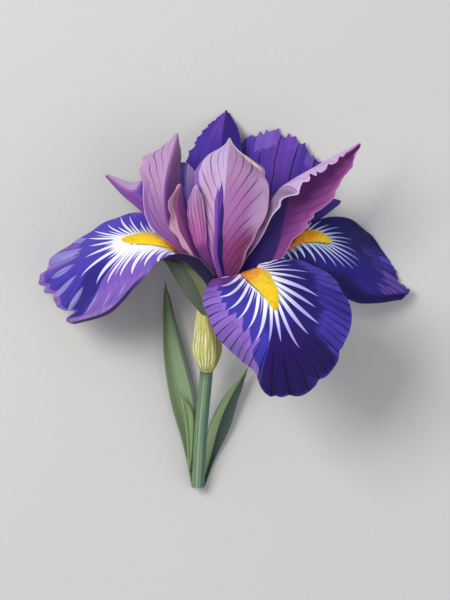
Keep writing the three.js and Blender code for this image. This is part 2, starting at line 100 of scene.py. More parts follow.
# %% [markdown]
# A material starts as a Principled surface. `node` adds any other node: its settings come
# first, because they decide which sockets it has. Colours are given as they look on a
# screen, from 0 to 255, and are turned into the linear light that the renderer counts in.

# %% A material being painted
GLOSS = 0.16


def linear(red, green, blue):
    """A screen colour as linear light."""
    def one(value):
        share = value / 255
        return share / 12.92 if share <= 0.04045 else ((share + 0.055) / 1.055) ** 2.4
    return (one(red), one(green), one(blue), 1)


class Paint:
    """A material and the colour that is built up on it."""

    def __init__(self, name, ground=None):
        self.material = bpy.data.materials.new(name)
        self.material.use_nodes = True
        self.tree = self.material.node_tree
        self.ground = ground
        self.height = 0

    def feed(self, socket, value):
        """Links a socket to a value, or sets it. Three numbers are a screen colour."""
        if isinstance(value, Shade):
            self.tree.links.new(value.output, socket)
        elif isinstance(value, tuple):
            socket.default_value = linear(*value)
        else:
            socket.default_value = value

    def node(self, kind, settings, inputs=(), output=0):
        """Adds a node, sets it up, and gives one of its outputs."""
        made = self.tree.nodes.new(kind)
        for name, value in settings.items():
            setattr(made, name, value)
        pairs = inputs.items() if isinstance(inputs, dict) else enumerate(inputs)
        for key, value in pairs:
            self.feed(made.inputs[key], value)
        return Shade(self, made.outputs[output])

    def map(self, name):
        """The two coordinates of one of the piece's own UV maps."""
        place = self.node("ShaderNodeUVMap", {"uv_map": name})
        across = self.node("ShaderNodeSeparateXYZ", {}, [place])
        return across, Shade(self, across.output.node.outputs[1])

    def noise(self, place, scale, detail=3.0):
        """Soft random values from 0 to 1."""
        return self.node("ShaderNodeTexNoise", {},
                         {"Vector": place, "Scale": scale, "Detail": detail})

    def streaks(self, x, y, detail=3.0):
        """Noise that is drawn out by how slowly x and y grow."""
        return self.noise(self.node("ShaderNodeCombineXYZ", {}, [x, y]), 1.0, detail)

    def object_place(self):
        return self.node("ShaderNodeTexCoord", {}, output=3)

    def chance(self, number):
        """A random value from 0 to 1 that belongs to a whole number."""
        return self.node("ShaderNodeTexWhiteNoise", {"noise_dimensions": "1D"}, {"W": number})

    def ramp(self, stops, place):
        """Paints the whole piece by `place`, through (place, colour) stops."""
        self.ground = self.node("ShaderNodeValToRGB", {}, [place])
        ramp = self.ground.output.node.color_ramp
        ramp.interpolation = "EASE"
        while len(ramp.elements) < len(stops):
            ramp.elements.new(0.5)
        for element, (position, tint) in zip(ramp.elements, stops):
            element.position = position
            element.color = linear(*tint)

    def mix(self, under, over, share):
        return self.node("ShaderNodeMix", {"data_type": "RGBA"}, {0: share, 6: under, 7: over}, 2)

    def cover(self, over, share):
        """Lays a colour on what is painted so far."""
        self.ground = self.mix(self.ground, over, share)

    def cover_all(self, patches):
        """Lays on several colours, each where its mask says."""
        for tint, mask in patches:
            self.cover(tint, mask(self))

    def raise_by(self, height):
        """Adds to the fine relief."""
        self.height = height + self.height

    def finish(self, roughness, relief, sheen=0.0, tint=(1, 1, 1, 1)):
        """Connects the colour and the relief and gives the finished material."""
        put = self.tree.nodes["Principled BSDF"].inputs
        self.feed(put["Base Color"], self.ground)
        self.feed(put["Roughness"], roughness)
        put["Sheen Weight"].default_value = sheen
        put["Sheen Tint"].default_value = tint
        put["Specular IOR Level"].default_value = GLOSS
        bump = self.node("ShaderNodeBump", {},
                         {"Strength": 1.0, "Distance": relief, "Height": self.height})
        self.feed(put["Normal"], bump)
        return self.material


# %% [markdown]
# ## Veins
#
# A vein is a thin line where some coordinate passes a whole number. Real veins begin and
# end at different places, so each line draws its own luck from the number that it stands on.

# %% Lines and veins


def off_line(place, shift=0.5):
    """How far each point is from the nearest line. A shift of 0 puts lines on the halves."""
    return ((place + shift).math("FRACT") - 0.5).math("ABSOLUTE")


def lines(place, width):
    """1 on thin lines where `place` is a whole number. `width` is a share of the spacing."""
    return off_line(place).under(width * 0.45, width)


def own_luck(place, seed):
    """The random value of the line nearest to each point."""
    return place.paint.chance((place + 0.5).math("FLOOR") + seed)


def veins(place, along, begin, end, width, seed):
    """Tapered lines that begin and end near two places `along` the petal."""
    luck = own_luck(place, seed)
    first = begin + 0.12 * luck
    last = end - 0.25 * own_luck(place, seed + 40)
    thin = along.under(last - 0.25, last) * along.over(first - 0.02, first + 0.04)
    taper = 0.35 + 0.65 * along.over(first, first + 0.5)
    return lines(place, width * (0.6 + 0.4 * luck) * taper) * thin


# %% [markdown]
# ## A blade that follows a net
#
# Each petal and leaf is a thin sheet through a net of points: rows from its foot to its tip,
# and across each row from the left margin to the right one, as seen from above. It could be
# sculpted, but a net keeps the sheet on the solid that stands for it in the physics. The
# curve through the points is the smooth one named after Catmull and Rom.

# %% Smooth lines and surfaces
STEP = 0.02


def spans(place, count):
    """For places from 0 to 1 along a line of `count` spans: the span, and four weights."""
    at = np.clip(place, 0, 1) * count
    span = np.minimum(at.astype(int), count - 1)
    w = at - span
    weights = [-w + 2 * w**2 - w**3, 2 - 5 * w**2 + 3 * w**3,
               w + 4 * w**2 - 3 * w**3, w**3 - w**2]
    return span, [weight / 2 for weight in weights]


def widened(points):
    """The points with one more at each end, as far out as the last span is long."""
    return np.concatenate([2 * points[:1] - points[1:2], points, 2 * points[-1:] - points[-2:-1]])


def on_line(points, t):
    """Places on the smooth line through the points, for t from 0 to 1."""
    wide = widened(np.array(points, float))
    span, weights = spans(t, len(points) - 1)
    return sum((weight * wide[span + i].T).T for i, weight in enumerate(weights))


def on_net(net, u, v):
    """Points of the surface at u from foot to tip and v from -1 to 1."""
    wide = widened(widened(np.array(net, float)).swapaxes(0, 1)).swapaxes(0, 1)
    row, row_weights = spans(u, len(net) - 1)
    column, column_weights = spans((v + 1) / 2, len(net[0]) - 1)
    total = np.zeros((len(u), 3))
    for i, row_weight in enumerate(row_weights):
        for j, column_weight in enumerate(column_weights):
            total += (row_weight * column_weight)[:, None] * wide[row + i, column + j]
    return total


def unit(vectors):
    return vectors / np.maximum(np.linalg.norm(vectors, axis=1), 1e-9)[:, None]


def facing(surface, u, v):
    """Unit normals of a surface given as a function of u and v."""
    up = surface(np.minimum(u + STEP, 1), v) - surface(np.maximum(u - STEP, 0), v)
    over = surface(u, np.minimum(v + STEP, 1)) - surface(u, np.maximum(v - STEP, -1))
    return unit(np.cross(over, up))


def turn_up(net):
    """-1 for a net whose own normal points to the floor, and 1 for the others."""
    middle = facing(lambda u, v: on_net(net, u, v), np.array([0.6]), np.array([0.05]))
    return -1 if middle[0, 2] < 0 else 1


# %% [markdown]
# Waves and cuts sit on top of the net, and grow towards the margin. Teeth are the absolute
# value of a sine, and round lobes are the same curve upside down. Equal teeth would look
# stamped, so slow sines push them together and apart and change their depth. The names
# below say where each kind sets in: along the blade from its foot, where the tip is 1, or
# out from its middle line, where a margin is 1. The last one is the share of a blade's width
# that is left at a pointed tip.

# %% Waves and cuts of a margin
TIP_WAVES_FROM = 0.6
SIDE_WAVES_FROM = 0.5
TIP_FRILL_FROM = 0.85
SIDE_FRILL_FROM = 0.72
BULGES_FROM = 0.25
POINT_WIDTH = 0.1


def near_margin(distance, start):
    """0 up to `start`, and from there smoothly up to 1."""
    share = np.clip((distance - start) / (1 - start), 0, 1)
    return share**2 * (3 - 2 * share)


def cut_shape(place, cuts=0, begin=0, pointed=False):
    """From 0 to 1, how deeply a margin is cut at each place along it."""
    turn = cuts * (place - begin) / (1 - begin)
    turn = turn + 0.2 * np.sin(2.1 * turn + 1) + 0.1 * np.sin(4.7 * turn)
    wave = np.abs(np.sin(np.pi * turn))
    depth = 0.72 + 0.28 * np.sin(2.6 * turn + 2)
    return np.where(place < begin, 0, (wave if pointed else 1 - wave) * depth)


def swell(net, u, v, bulges):
    """How far points move along the floor. Bulges are (place, hand, outward, length)."""
    over = on_net(net, u, np.minimum(v + 0.3, 1)) - on_net(net, u, np.maximum(v - 0.3, -1))
    over[:, 2] *= 0.2
    outward = np.zeros(len(u))
    for place, hand, amount, length in bulges:
        bump = np.exp(-((u - place) / length) ** 2)
        outward += hand * amount * bump * near_margin(hand * v, BULGES_FROM)
    return unit(over) * outward[:, None]


def blade_points(net, u, v, tip=None, left=None, right=None, frill=0.0, bulges=(), point=None,
                 notches=()):
    """Points of a blade with its waves, cuts and a fine frill, in millimetres.

    From the place `point` on, the blade draws together to a point. Notches in its tip are
    (place, depth, breadth).
    """
    smooth = lambda a, b: on_net(net, a, b)
    off_foot = np.minimum(1, 3 * u)
    tip_share = near_margin(u, TIP_WAVES_FROM)
    side_share = near_margin(np.abs(v), SIDE_WAVES_FROM) * off_foot
    u_in, v_in, lift = u.copy(), v.copy(), np.zeros(len(u))
    for margin, place, share in ((tip, (v + 1) / 2, tip_share), (left, u, side_share * (v < 0)),
                                 (right, u, side_share * (v >= 0))):
        cut = dict(margin or {})
        wave = np.sin(2 * np.pi * cut.pop("waves", 0) * place)
        lift += cut.pop("lift", 0) * share * wave
        pull = cut.pop("depth", 0) * cut_shape(place, **cut) * share
        if margin is tip:
            u_in -= pull
        else:
            v_in -= np.sign(v) * pull
    for place, depth, breadth in notches:
        u_in -= depth * np.exp(-((v - place) / breadth) ** 2) * tip_share
    edge = np.maximum(near_margin(np.abs(v), SIDE_FRILL_FROM), near_margin(u, TIP_FRILL_FROM))
    edge *= off_foot
    if point:
        v_in *= 1 - (1 - POINT_WIDTH) * np.clip((u - point) / (1 - point), 0, 1) ** 1.5
        edge *= 1 - near_margin(u, point - 0.1)
    lift += frill * edge * np.sin(19 * u + 2.2 * np.sin(5 * v)) * np.cos(23 * v * u + 1.3)
    normal = facing(smooth, u_in, v_in) * turn_up(net)
    points = smooth(u_in, v_in) + normal * lift[:, None]
    return points + swell(net, u_in, v_in, bulges)


# %% [markdown]
# The sheet starts as a flat grid. Its corners run from -1 to 1, so the place of each vertex
# says where it belongs on the net. Solidify then gives the sheet its two faces, each with
# its own material, because a petal's back is paler and duller than its face.

# %% From a grid to a blade
PETAL_WALL = 0.5
PETAL_CREASE = 50


def sheet(name, columns, rows):
    """A flat grid as a new piece, and the two coordinates of its vertices from -1 to 1."""
    bpy.ops.object.select_all(action="DESELECT")
    bpy.ops.mesh.primitive_grid_add(x_subdivisions=columns, y_subdivisions=rows, size=2)
    piece = bpy.context.object
    piece.name = name
    piece.data.uv_layers[0].name = "petal"
    flat = np.zeros(3 * len(piece.data.vertices))
    piece.data.vertices.foreach_get("co", flat)
    return piece, flat[0::3], flat[1::3]


def move_to(piece, points):
    """Moves a piece's vertices to points in millimetres."""
    piece.data.vertices.foreach_set("co", (points * MM).ravel())


def on_all_faces(*steps):
    """Runs edit steps on the whole mesh."""
    bpy.ops.object.mode_set(mode="EDIT")
    bpy.ops.mesh.select_all(action="SELECT")
    for step in steps:
        step()
    bpy.ops.object.mode_set(mode="OBJECT")


def thicken(piece, net, finishes, wall, crease):
    """Turns a sheet's face up and gives it a wall, its finishes and smooth shading."""
    if turn_up(net) < 0:
        on_all_faces(bpy.ops.mesh.flip_normals)
    for finish in finishes:
        piece.data.materials.append(finish)
    solid = piece.modifiers.new("thickness", "SOLIDIFY")
    solid.thickness = wall * MM
    solid.offset = 0
    solid.material_offset = len(finishes) - 1
    bpy.ops.object.modifier_apply(modifier=solid.name)
    bpy.ops.object.shade_smooth_by_angle(angle=math.radians(crease))


def keep(piece, node):
    """Makes the piece ride with the part and stand for its solid."""
    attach(piece, "root")
    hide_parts(node)
    print(piece.name, "has", len(piece.data.polygons), "faces")


def blade(node, slot, finishes, rows, columns, wall=PETAL_WALL, name=None, **margins):
    """A finished petal or leaf on the net of its node: its mesh, coordinates and finishes."""
    piece, v, up = sheet(name or node + "_petal", columns, rows)
    points = blade_points(NETS[node], (up + 1) / 2, v, **{**MARGINS.get(node, {}), **margins})
    move_to(piece, points)
    if node in FANS:
        give_fan(piece.data, FANS[node], points)
    thicken(piece, NETS[node], finishes, wall, PETAL_CREASE)
    keep(piece, node)


# %% [markdown]
# ## The fan of a hanging petal
#
# White rays leave the edge of the beard on all its sides, and the dark veins carry on in the
# same directions. So each hanging petal gets a second map: across it runs the number of the
# ray, and up it runs the distance, which is 1 at the rays' ends. Each ray is given by where
# it leaves the beard and where it ends, both as seen from above, in millimetres.

# %% Fan coordinates


def fan_place(rays, place):
    """Each point's ray number, and the share of the way along that ray."""
    rays = np.array(rays, float)
    start, end = rays[:, :2], rays[:, 2:]
    way = end - start
    length = np.linalg.norm(way, axis=1)
    from_start = place[:, None] - start[None]
    side = (way[:, 0] * from_start[..., 1] - way[:, 1] * from_start[..., 0]) / length
    ahead = np.einsum("nkd,kd->nk", from_start, way) / length
    last = len(start) - 1
    before_first = side[:, 0] / np.maximum(np.abs(side[:, 0] - side[:, 1]), 1)
    past_last = side[:, last] / np.maximum(np.abs(side[:, last - 1] - side[:, last]), 1)
    number = np.where(ahead[:, 0] > ahead[:, last], before_first, last + past_last)
    for k in range(last):
        between = (side[:, k] >= 0) & (side[:, k + 1] < 0)
        between &= (ahead[:, k] > 0) | (ahead[:, k + 1] > 0)
        share = side[:, k] / np.maximum(side[:, k] - side[:, k + 1], 1e-6)
        number = np.where(between, k + share, number)
    number = np.clip(number, -3, last + 3)
    inner = np.clip(number, 0, last - 1e-6)
    k = inner.astype(int)
    w = (inner - k)[:, None]
    root = start[k] * (1 - w) + start[k + 1] * w
    along = end[k] * (1 - w) + end[k + 1] * w - root
    reach = ((place - root) * along).sum(1) / (along**2).sum(1)
    return number, reach


# %% [markdown]
# Rays that are straight look like a printed star. On the petal they leave the beard along
# its length and then bend away, so each ray also has a bow: by how much of the spacing its
# middle stands off the straight line. Past the rays' ends the bow runs out smoothly, because
# the dark veins follow it to the margin.

# %% Fan map


def add_map(mesh, name, across, up):
    """Adds a UV map from two values for each vertex."""
    corners = np.zeros(len(mesh.loops), int)
    mesh.loops.foreach_get("vertex_index", corners)
    values = np.stack([across[corners], up[corners]], axis=1)
    mesh.uv_layers.new(name=name).data.foreach_set("uv", values.ravel())


def give_fan(mesh, fan, points):
    """Adds the fan map to a mesh whose vertices are at `points`."""
    number, reach = fan_place(fan["rays"], points[:, :2])
    bows = np.interp(number, *np.array(fan["bows"], float).T)
    past = np.maximum(reach - 1, 0)
    inside = np.clip(reach, 0, 1)
    number += bows * (4 * inside * (1 - inside) - 1.3 * (1 - np.exp(-3 * past)))
    add_map(mesh, "fan", number, reach)


# %% [markdown]
# ## The nets
#
# One net for each petal, style arm and leaf: rows from the foot to the tip, and three or more
# points across each row. `MARGINS` says how the tips of two hanging petals are waved and cut,
# because their beards have to follow them.

# %% Nets of all blades
NETS = {}
MARGINS = {}
FANS = {}
NETS["fall_front"] = [
    [[-2, 9.1, 44.3], [-1.1, 9.2, 44.5], [-0.2, 9.3, 44.6], [0.7, 9.4, 44.7],
     [1.6, 9.5, 44.7], [2.5, 9.6, 44.6], [3.4, 9.8, 44.4], [4.3, 10, 44.1],
     [5.2, 10.2, 43.7], [6.1, 10.5, 43.2], [7, 10.8, 42.7]],
    [[-5, 8, 49], [-3, 5.5, 56], [1.5, 1.5, 64], [8, -1.5, 70],
     [13.5, -2.5, 74], [18.5, 0, 76], [22, 3.5, 75], [23.5, 7.5, 72],
     [23, 11.5, 67], [19.5, 13.5, 60], [14, 13.5, 52]],
    [[-6, 7, 49], [-5.5, 0, 60], [0, -11.5, 68], [8.5, -20, 73],
     [17, -23.5, 76], [26.5, -22.5, 77], [36, -16.5, 77], [41, -5.5, 75],
     [37.5, 7.5, 70], [27.5, 16.5, 61], [15, 14.5, 52]],
    [[-7, 6.5, 49], [-7.5, -4.5, 57], [-1.5, -20.5, 59], [11.5, -31.5, 61],
     [18.5, -40.5, 62], [33, -42.5, 62], [47, -31.5, 63], [54, -14.5, 64],
     [49, 5.5, 62], [33.5, 18, 57], [16, 15, 50]],
]
MARGINS["fall_front"] = {"tip": {"waves": 3, "lift": 1.6, "cuts": 6, "depth": 0.05}}
NETS["fall_left"] = [
    [[-4.6, 10.2, 47], [-5, 6.3, 44.5], [-6, 4, 39.5], [-8.5, 7.5, 36.3], [-9.2, 13, 35.2]],
    [[-12.5, 18, 49], [-12.3, 14, 45], [-13, 12, 39], [-16, 18, 33.5], [-18, 24.5, 31]],
    [[-25.5, 18.5, 51], [-25.5, 17.5, 48.5], [-28.5, 23.5, 43.5], [-32, 29.5, 34.5], [-33, 37, 28]],
    [[-38, 6, 49.5], [-41.5, 13.5, 49], [-45, 22.5, 45], [-47.5, 29.5, 35], [-49, 35, 24]],
    [[-50.2, -6.3, 41], [-54.5, 3.5, 42], [-59, 12.5, 37], [-63, 20, 24], [-64.5, 26.5, 11]],
    [[-67.5, -11.5, 22], [-74, -4.5, 16], [-80, 2.5, 9], [-82, 10.5, 2], [-77.5, 18.5, 0.6]],
]
MARGINS["fall_left"] = {"tip": {"waves": 2, "lift": 1.2, "cuts": 5, "depth": 0.03}}
NETS["fall_right"] = [
    [[7.5, 8.1, 37.7], [7.9, 8.9, 36.4], [8, 9.9, 35.2], [7.7, 11.1, 34.6], [7.2, 12.1, 34.1]],
    [[19.5, 11, 36], [20.5, 16, 37], [21.5, 19.5, 35.5], [22.5, 23, 32.5], [23.5, 26, 29.5]],
    [[33, 13.5, 34], [34, 19, 36], [35, 24.5, 34], [35.5, 28.5, 30], [36.5, 33, 25.5]],
    [[45.5, 4.5, 26], [46.5, 12.5, 29], [49, 21, 26], [51, 28.5, 20], [52.5, 36, 14]],
    [[60.5, -2, 15], [63.5, 4, 18], [66, 12.5, 13], [66, 20, 6.7], [65, 28, 2.6]],
    [[78.5, -0.5, 7], [82, 3.5, 5], [77.5, 7, 2.7], [76, 12, 1.1], [72.5, 17.5, 0.2]],
]
NETS["standard_centre"] = [
    [[-4.5, 9.2, 40.5], [-2.5, 8.9, 41.5], [-0.5, 8.8, 42], [2, 8.9, 41.8], [4.5, 9.3, 40.8]],
    [[-9, 19, 44], [-6, 18.5, 46], [-2.5, 19, 47], [4, 20.5, 49], [10.5, 20.5, 46]],
    [[-12, 32, 46], [-7, 31.5, 49], [-1.5, 31.5, 50], [8, 33, 53], [16.5, 33, 49]],
    [[-13, 46, 47], [-7.5, 45.5, 50], [0, 44.5, 52], [10, 46.5, 56], [19, 46, 51]],
    [[-11, 58.5, 46], [-5, 58, 50], [1, 57, 53], [8.5, 57, 55], [15, 57, 50]],
    [[-0.5, 68, 45], [1, 69, 46], [2, 70, 47], [3.5, 69, 46.5], [5, 68, 46]],
]
NETS["standard_left"] = [
    [[-6.5, 9.8, 37.5], [-6, 9.6, 38.3], [-5.3, 9.5, 38.9], [-4.3, 9.8, 38.8], [-3.3, 10.3, 38.2]],
    [[-20, 20.4, 45.6], [-19, 21, 45.9], [-17.6, 22, 45.7], [-15.2, 23, 43.8], [-12.8, 24.5, 41.3]],
    [[-32.6, 32.5, 42.5], [-29.5, 32.5, 45], [-25, 33, 47], [-21.5, 34.5, 43.5], [-18, 36, 39]],
    [[-36.2, 48.5, 35], [-31.5, 48, 40.5], [-26.5, 47, 45], [-23, 48, 40.5], [-20, 49, 35.5]],
    [[-35.2, 60.5, 31], [-30, 60.3, 36], [-24.5, 60, 41], [-22, 60.5, 37], [-19.5, 62, 32]],
    [[-24, 69.5, 33], [-23, 71.5, 34.5], [-21, 72.5, 35.5], [-20, 70.5, 34.5], [-19.5, 68.5, 33]],
]
NETS["standard_right"] = [
    [[4.4, 10.4, 40], [3.6, 10.4, 39.2], [4.8, 9.8, 38.6], [6, 9.8, 38], [7, 10.3, 37.4]],
    [[14, 23.5, 44.5], [11.5, 22, 42.5], [15, 20, 40.8], [19, 18, 41], [23, 16, 42.2]],
    [[22, 37.5, 48.5], [17.5, 37, 45.5], [22, 33.5, 42], [27.5, 30, 41.5], [32.5, 28, 43.5]],
    [[30, 46, 51], [24.5, 48, 47.5], [30, 43.5, 42.5], [36, 39.5, 42], [42, 38.5, 44.5]],
    [[42.5, 55, 51], [40.5, 58, 48.5], [44, 54.5, 43.5], [48, 52, 43], [52, 51.5, 45]],
    [[58, 66.5, 48.7], [59, 67.8, 48], [59, 66.5, 47], [58, 65, 46.5], [56.5, 63, 46.3]],
]
NETS["rear_petal_left"] = [
    [[-4.4, 11.4, 32.6], [-3.5, 11.6, 32.1], [-2.6, 11.8, 31.7], [-1.8, 11.9, 31.5], [-1, 12, 31.4]],
    [[-12.5, 27.5, 28.5], [-9.5, 27.5, 28], [-5, 27.5, 27], [-0.5, 28, 28], [3.5, 28, 29]],
    [[-17.5, 44.5, 23], [-11, 44, 21.5], [-3.5, 44, 20], [2.5, 44, 21.5], [9, 44, 23]],
    [[-17.5, 61.5, 14], [-10.5, 61.5, 12.5], [-2, 61, 11], [2.5, 61.5, 13], [7.5, 62.5, 15]],
    [[-10, 75, 5], [-6, 73.5, 4.5], [-1, 73, 3.5], [2.5, 73.5, 5], [6, 74.5, 7]],
    [[-1, 82.5, 0.6], [0, 83, 0.5], [0.5, 84, 0.4], [1, 83, 0.5], [2, 82.5, 0.6]],
]
NETS["rear_petal_right"] = [
    [[0, 12, 31], [0.8, 12, 31], [1.6, 11.9, 31.1], [2.3, 11.8, 31.3], [3, 11.7, 31.6]],
    [[3, 26.5, 25], [7, 26.5, 24], [11, 26.5, 23.5], [15, 25.5, 23.5], [19.5, 24, 24]],
    [[6, 43.5, 17], [12, 43, 15.5], [19, 42, 15], [26, 40, 16], [33, 37.5, 18]],
    [[6, 60.5, 8], [14, 61, 7.5], [22.5, 61, 7.5], [31.5, 58, 9.5], [40, 51.5, 13]],
    [[7.5, 70.5, 2.2], [16, 75, 0.9], [26, 75.5, 0.9], [35, 69.5, 1.4], [43, 60.5, 5]],
]
NETS["side_petal_left"] = [
    [[-6.9, 10.9, 34.8], [-6.2, 11.1, 34.2], [-5.6, 11.3, 33.6]],
    [[-24, 26.5, 26.5], [-23, 29, 28], [-21, 30.5, 26]],
    [[-38.5, 40, 22], [-36, 45, 26], [-33, 50.5, 21]],
    [[-45.5, 46, 18], [-43.5, 47.5, 22], [-41.5, 51, 19]],
    [[-53, 54.2, 14], [-52.5, 54.5, 15], [-52, 55, 14]],
]
NETS["side_petal_right"] = [
    [[3.8, 11.9, 32.7], [4.5, 11.7, 33.1], [5.2, 11.5, 33.5]],
    [[22, 20.5, 28.5], [23, 23, 28.5], [24, 25.5, 27]],
    [[37, 31.5, 22.5], [39, 36, 24], [40.5, 40.5, 22]],
    [[45, 37.5, 20], [46, 40.5, 22], [46.5, 44, 20]],
    [[50.3, 41.6, 18], [51, 42.5, 18.5], [51.3, 43.2, 18]],
]
NETS["style_striped"] = [
    [[-5.9, 9.9, 43.4], [-4.9, 9.8, 43.9], [-4, 9.7, 43.6]],
    [[-11.8, 20.5, 47], [-10, 21, 48.9], [-7.5, 21.5, 48]],
    [[-15.5, 32, 48], [-12, 32.5, 52], [-8.5, 33, 51]],
    [[-16, 41.5, 49], [-13.5, 42.5, 54], [-10, 43.5, 53]],
    [[-13.5, 48.5, 51], [-12.5, 49.5, 51.5], [-12, 48.5, 51.5]],
]
NETS["style_curled"] = [
    [[-7.3, 10.4, 40.5], [-6.5, 10.2, 41], [-5.7, 10.2, 40.6]],
    [[-16.5, 20.5, 48], [-14.8, 20.5, 48], [-12.2, 21, 44.8]],
    [[-23, 29.5, 50], [-19.5, 31, 48.6], [-15.5, 31.5, 45.2]],
    [[-24.5, 40.5, 51.5], [-22.5, 40.5, 48.5], [-18, 41, 46]],
    [[-20.5, 49.5, 49], [-19.5, 50, 48.5], [-18.5, 48.5, 47]],
]
NETS["style_rear"] = [
    [[-2.5, 10, 36.5], [-1.5, 9.8, 36.9], [-0.5, 9.9, 36.6]],
    [[-14, 25.5, 33], [-11.5, 25.5, 35], [-9, 25.5, 34]],
    [[-19, 41, 30], [-15.5, 40.5, 33], [-11, 40.5, 32]],
    [[-21, 52, 27], [-17, 52, 31], [-12.5, 51, 30]],
    [[-19.5, 60, 26], [-16.5, 59.5, 28.5], [-13, 55.5, 28]],
]
NETS["bract"] = [
    [[-10.4, -6.5, 35.4], [-9, -7, 36.3], [-7.8, -5.5, 36.7]],
    [[-16, 0, 35], [-12.5, 0.5, 37.2], [-8.5, 3.2, 36.6]],
    [[-21.5, 8.5, 35.6], [-18, 10.3, 38.2], [-13, 11, 37]],
    [[-25, 14.5, 36.6], [-23, 16, 38.9], [-19.5, 16.5, 37.9]],
    [[-26.8, 16.6, 37.4], [-26.5, 17, 37.9], [-26, 17.2, 37.9]],
]
NETS["leaf_left"] = [
    [[-14.6, -84.2, 1.4], [-13.5, -84.2, 0.6], [-12.3, -84.2, 0.5]],
    [[-18.5, -65.5, 2.6], [-15.5, -64.5, 1], [-11.5, -63, 1.5]],
    [[-24, -46, 4], [-20, -45, 2], [-13, -43.5, 4]],
    [[-27, -26.5, 6], [-24, -25, 4], [-18, -24, 7]],
    [[-27.5, -8.5, 7], [-26, -8, 6], [-22.5, -8, 7.5]],
    [[-27, 7, 7.5], [-26.5, 7.5, 7.5], [-26, 7, 7.5]],
]
NETS["leaf_left_small"] = [
    [[-16.3, -76.5, 3.4], [-15.8, -76.5, 3], [-15.2, -76.5, 3.4]],
    [[-16.8, -63, 4.8], [-15.6, -63, 4], [-14.2, -63, 5]],
    [[-18, -51.5, 6.2], [-16.5, -51, 5.2], [-14.6, -50.5, 7]],
    [[-20.3, -41.7, 7.5], [-20, -41.3, 7.5], [-19.6, -41.6, 7.5]],
]
NETS["leaf_right"] = [
    [[-11.6, -84.2, 0.5], [-10.6, -84.2, 0.6], [-9.3, -84.2, 1.2]],
    [[-9.8, -73, 1.4], [-7, -73, 0.8], [-4.8, -72, 2.2]],
    [[-7, -57.5, 4], [-2.5, -56, 1.6], [2, -57.5, 4]],
    [[-0.5, -44, 7], [2.5, -44, 4], [6, -44, 6.5]],
    [[8.5, -31.5, 10], [10, -31, 9], [11.5, -31, 9.5]],
]
print("blades:", len(NETS))

# %% [markdown]
# ## The hanging petals
#
# A fall hangs from a narrow foot and widens to a broad, waved blade. Its face is velvety
# violet: white rays round the beard, dark veins from the rays to the margin, and paler or
# darker lobes. The shape could carry all of this as relief, but on the real petal only the
# veins stand out a little, so colour does the work and a bump gives the veins their ridge.
#
# The colours were chosen from the picture: violet with a lavender lobe on the side
# that catches the light, indigo painted as shade where the petal turns away, and white
# rays that cool to lilac.

# %% Colours of the falls
VIOLET = (76, 58, 178)
PURPLE = (40, 18, 98)
BLUE_VIOLET = (82, 74, 198)
INDIGO = (48, 38, 138)
NAVY = (30, 24, 96)
LAVENDER = (150, 110, 204)
SOFT_LAVENDER = (126, 92, 190)
PALE_BLUE = (156, 148, 222)
WHITE = (248, 248, 255)
RAY_TIP = (178, 176, 238)
VEIN = (16, 6, 50)
MAUVE = (128, 86, 184)
ROSE_LILAC = (176, 134, 196)
NEAR_BLACK = (28, 16, 52)

# %% Ground of a petal
FINE_RELIEF = 0.00014
COARSE_RELIEF = 0.00015
BLUE_SHEEN = (0.55, 0.5, 1, 1)
VIOLET_SHEEN = (0.6, 0.55, 1, 1)
PINK_SHEEN = (1, 0.85, 1, 1)


def petal_paint(name, ground=None):
    """A paint with the petal's own coordinates: side from -1 to 1, up from foot to tip."""
    paint = Paint(name, ground)
    across, paint.up = paint.map("petal")
    paint.side = across * 2 - 1
    return paint


def skin_paint(name, ground=None):
    """The same with the fine cells of a skin, and a broad mottle for the gloss."""
    paint = petal_paint(name, ground)
    place = paint.object_place()
    paint.raise_by(paint.noise(place, 2600.0, 2.0) * 0.12)
    paint.mottle = paint.noise(place, 160.0)
    return paint


def wander(paint, amount, scale, detail=3.0):
    """How far veins stray from their even places."""
    return amount * (paint.noise(paint.object_place(), scale, detail) - 0.5)


def to_margin(paint):
    """1 at both margins and at the tip."""
    return paint.side.math("ABSOLUTE").most(paint.up)


# %% Rays, and spots between veins of a fall


def room_left(share):
    """1 at a ray's root and 0 from its end on."""
    return (1 - share.most(0)).most(0)


def ray_mask(paint, breadth, seed):
    """Rays on whole numbers: broad at the beard and drawn out to a point."""
    share = paint.reach / (0.86 + 0.22 * own_luck(paint.number, seed))
    width = room_left(share).math("POWER", 0.85) * breadth
    width = width * (0.85 + 0.3 * own_luck(paint.number, seed + 20))
    return (width * paint.slim - off_line(paint.number)).over(0.0, 0.04)


def short_rays(paint, breadth, length, seed):
    """Thin rays between the long ones."""
    share = paint.reach / (length * (0.5 + ragged(paint, seed, 1)))
    return (room_left(share) * breadth - off_line(paint.number, 0)).over(0.0, 0.05)


def ragged(paint, seed, cells_each=2):
    """A random value for each space between two veins."""
    return paint.chance((paint.number * cells_each).math("FLOOR") + seed)


def stepped(paint, seed, depth):
    """The reach, set back by a random slanted step in each space between two veins."""
    slant = (paint.number * 2).math("FRACT")
    return paint.reach - depth * (0.8 * ragged(paint, seed) + 0.45 * slant)


def lens(paint, begin, end, breadth, seed, cells_each=1):
    """Spots shaped like lenses, one in each space between two veins."""
    first = begin + 0.25 * ragged(paint, seed, cells_each)
    share = (paint.reach - first) / (end - begin)
    room = (share * (1 - share) * 4).most(0)
    return (room * breadth - off_line(paint.number * cells_each, 0)).over(0.0, 0.05)


# %% Face of a fall


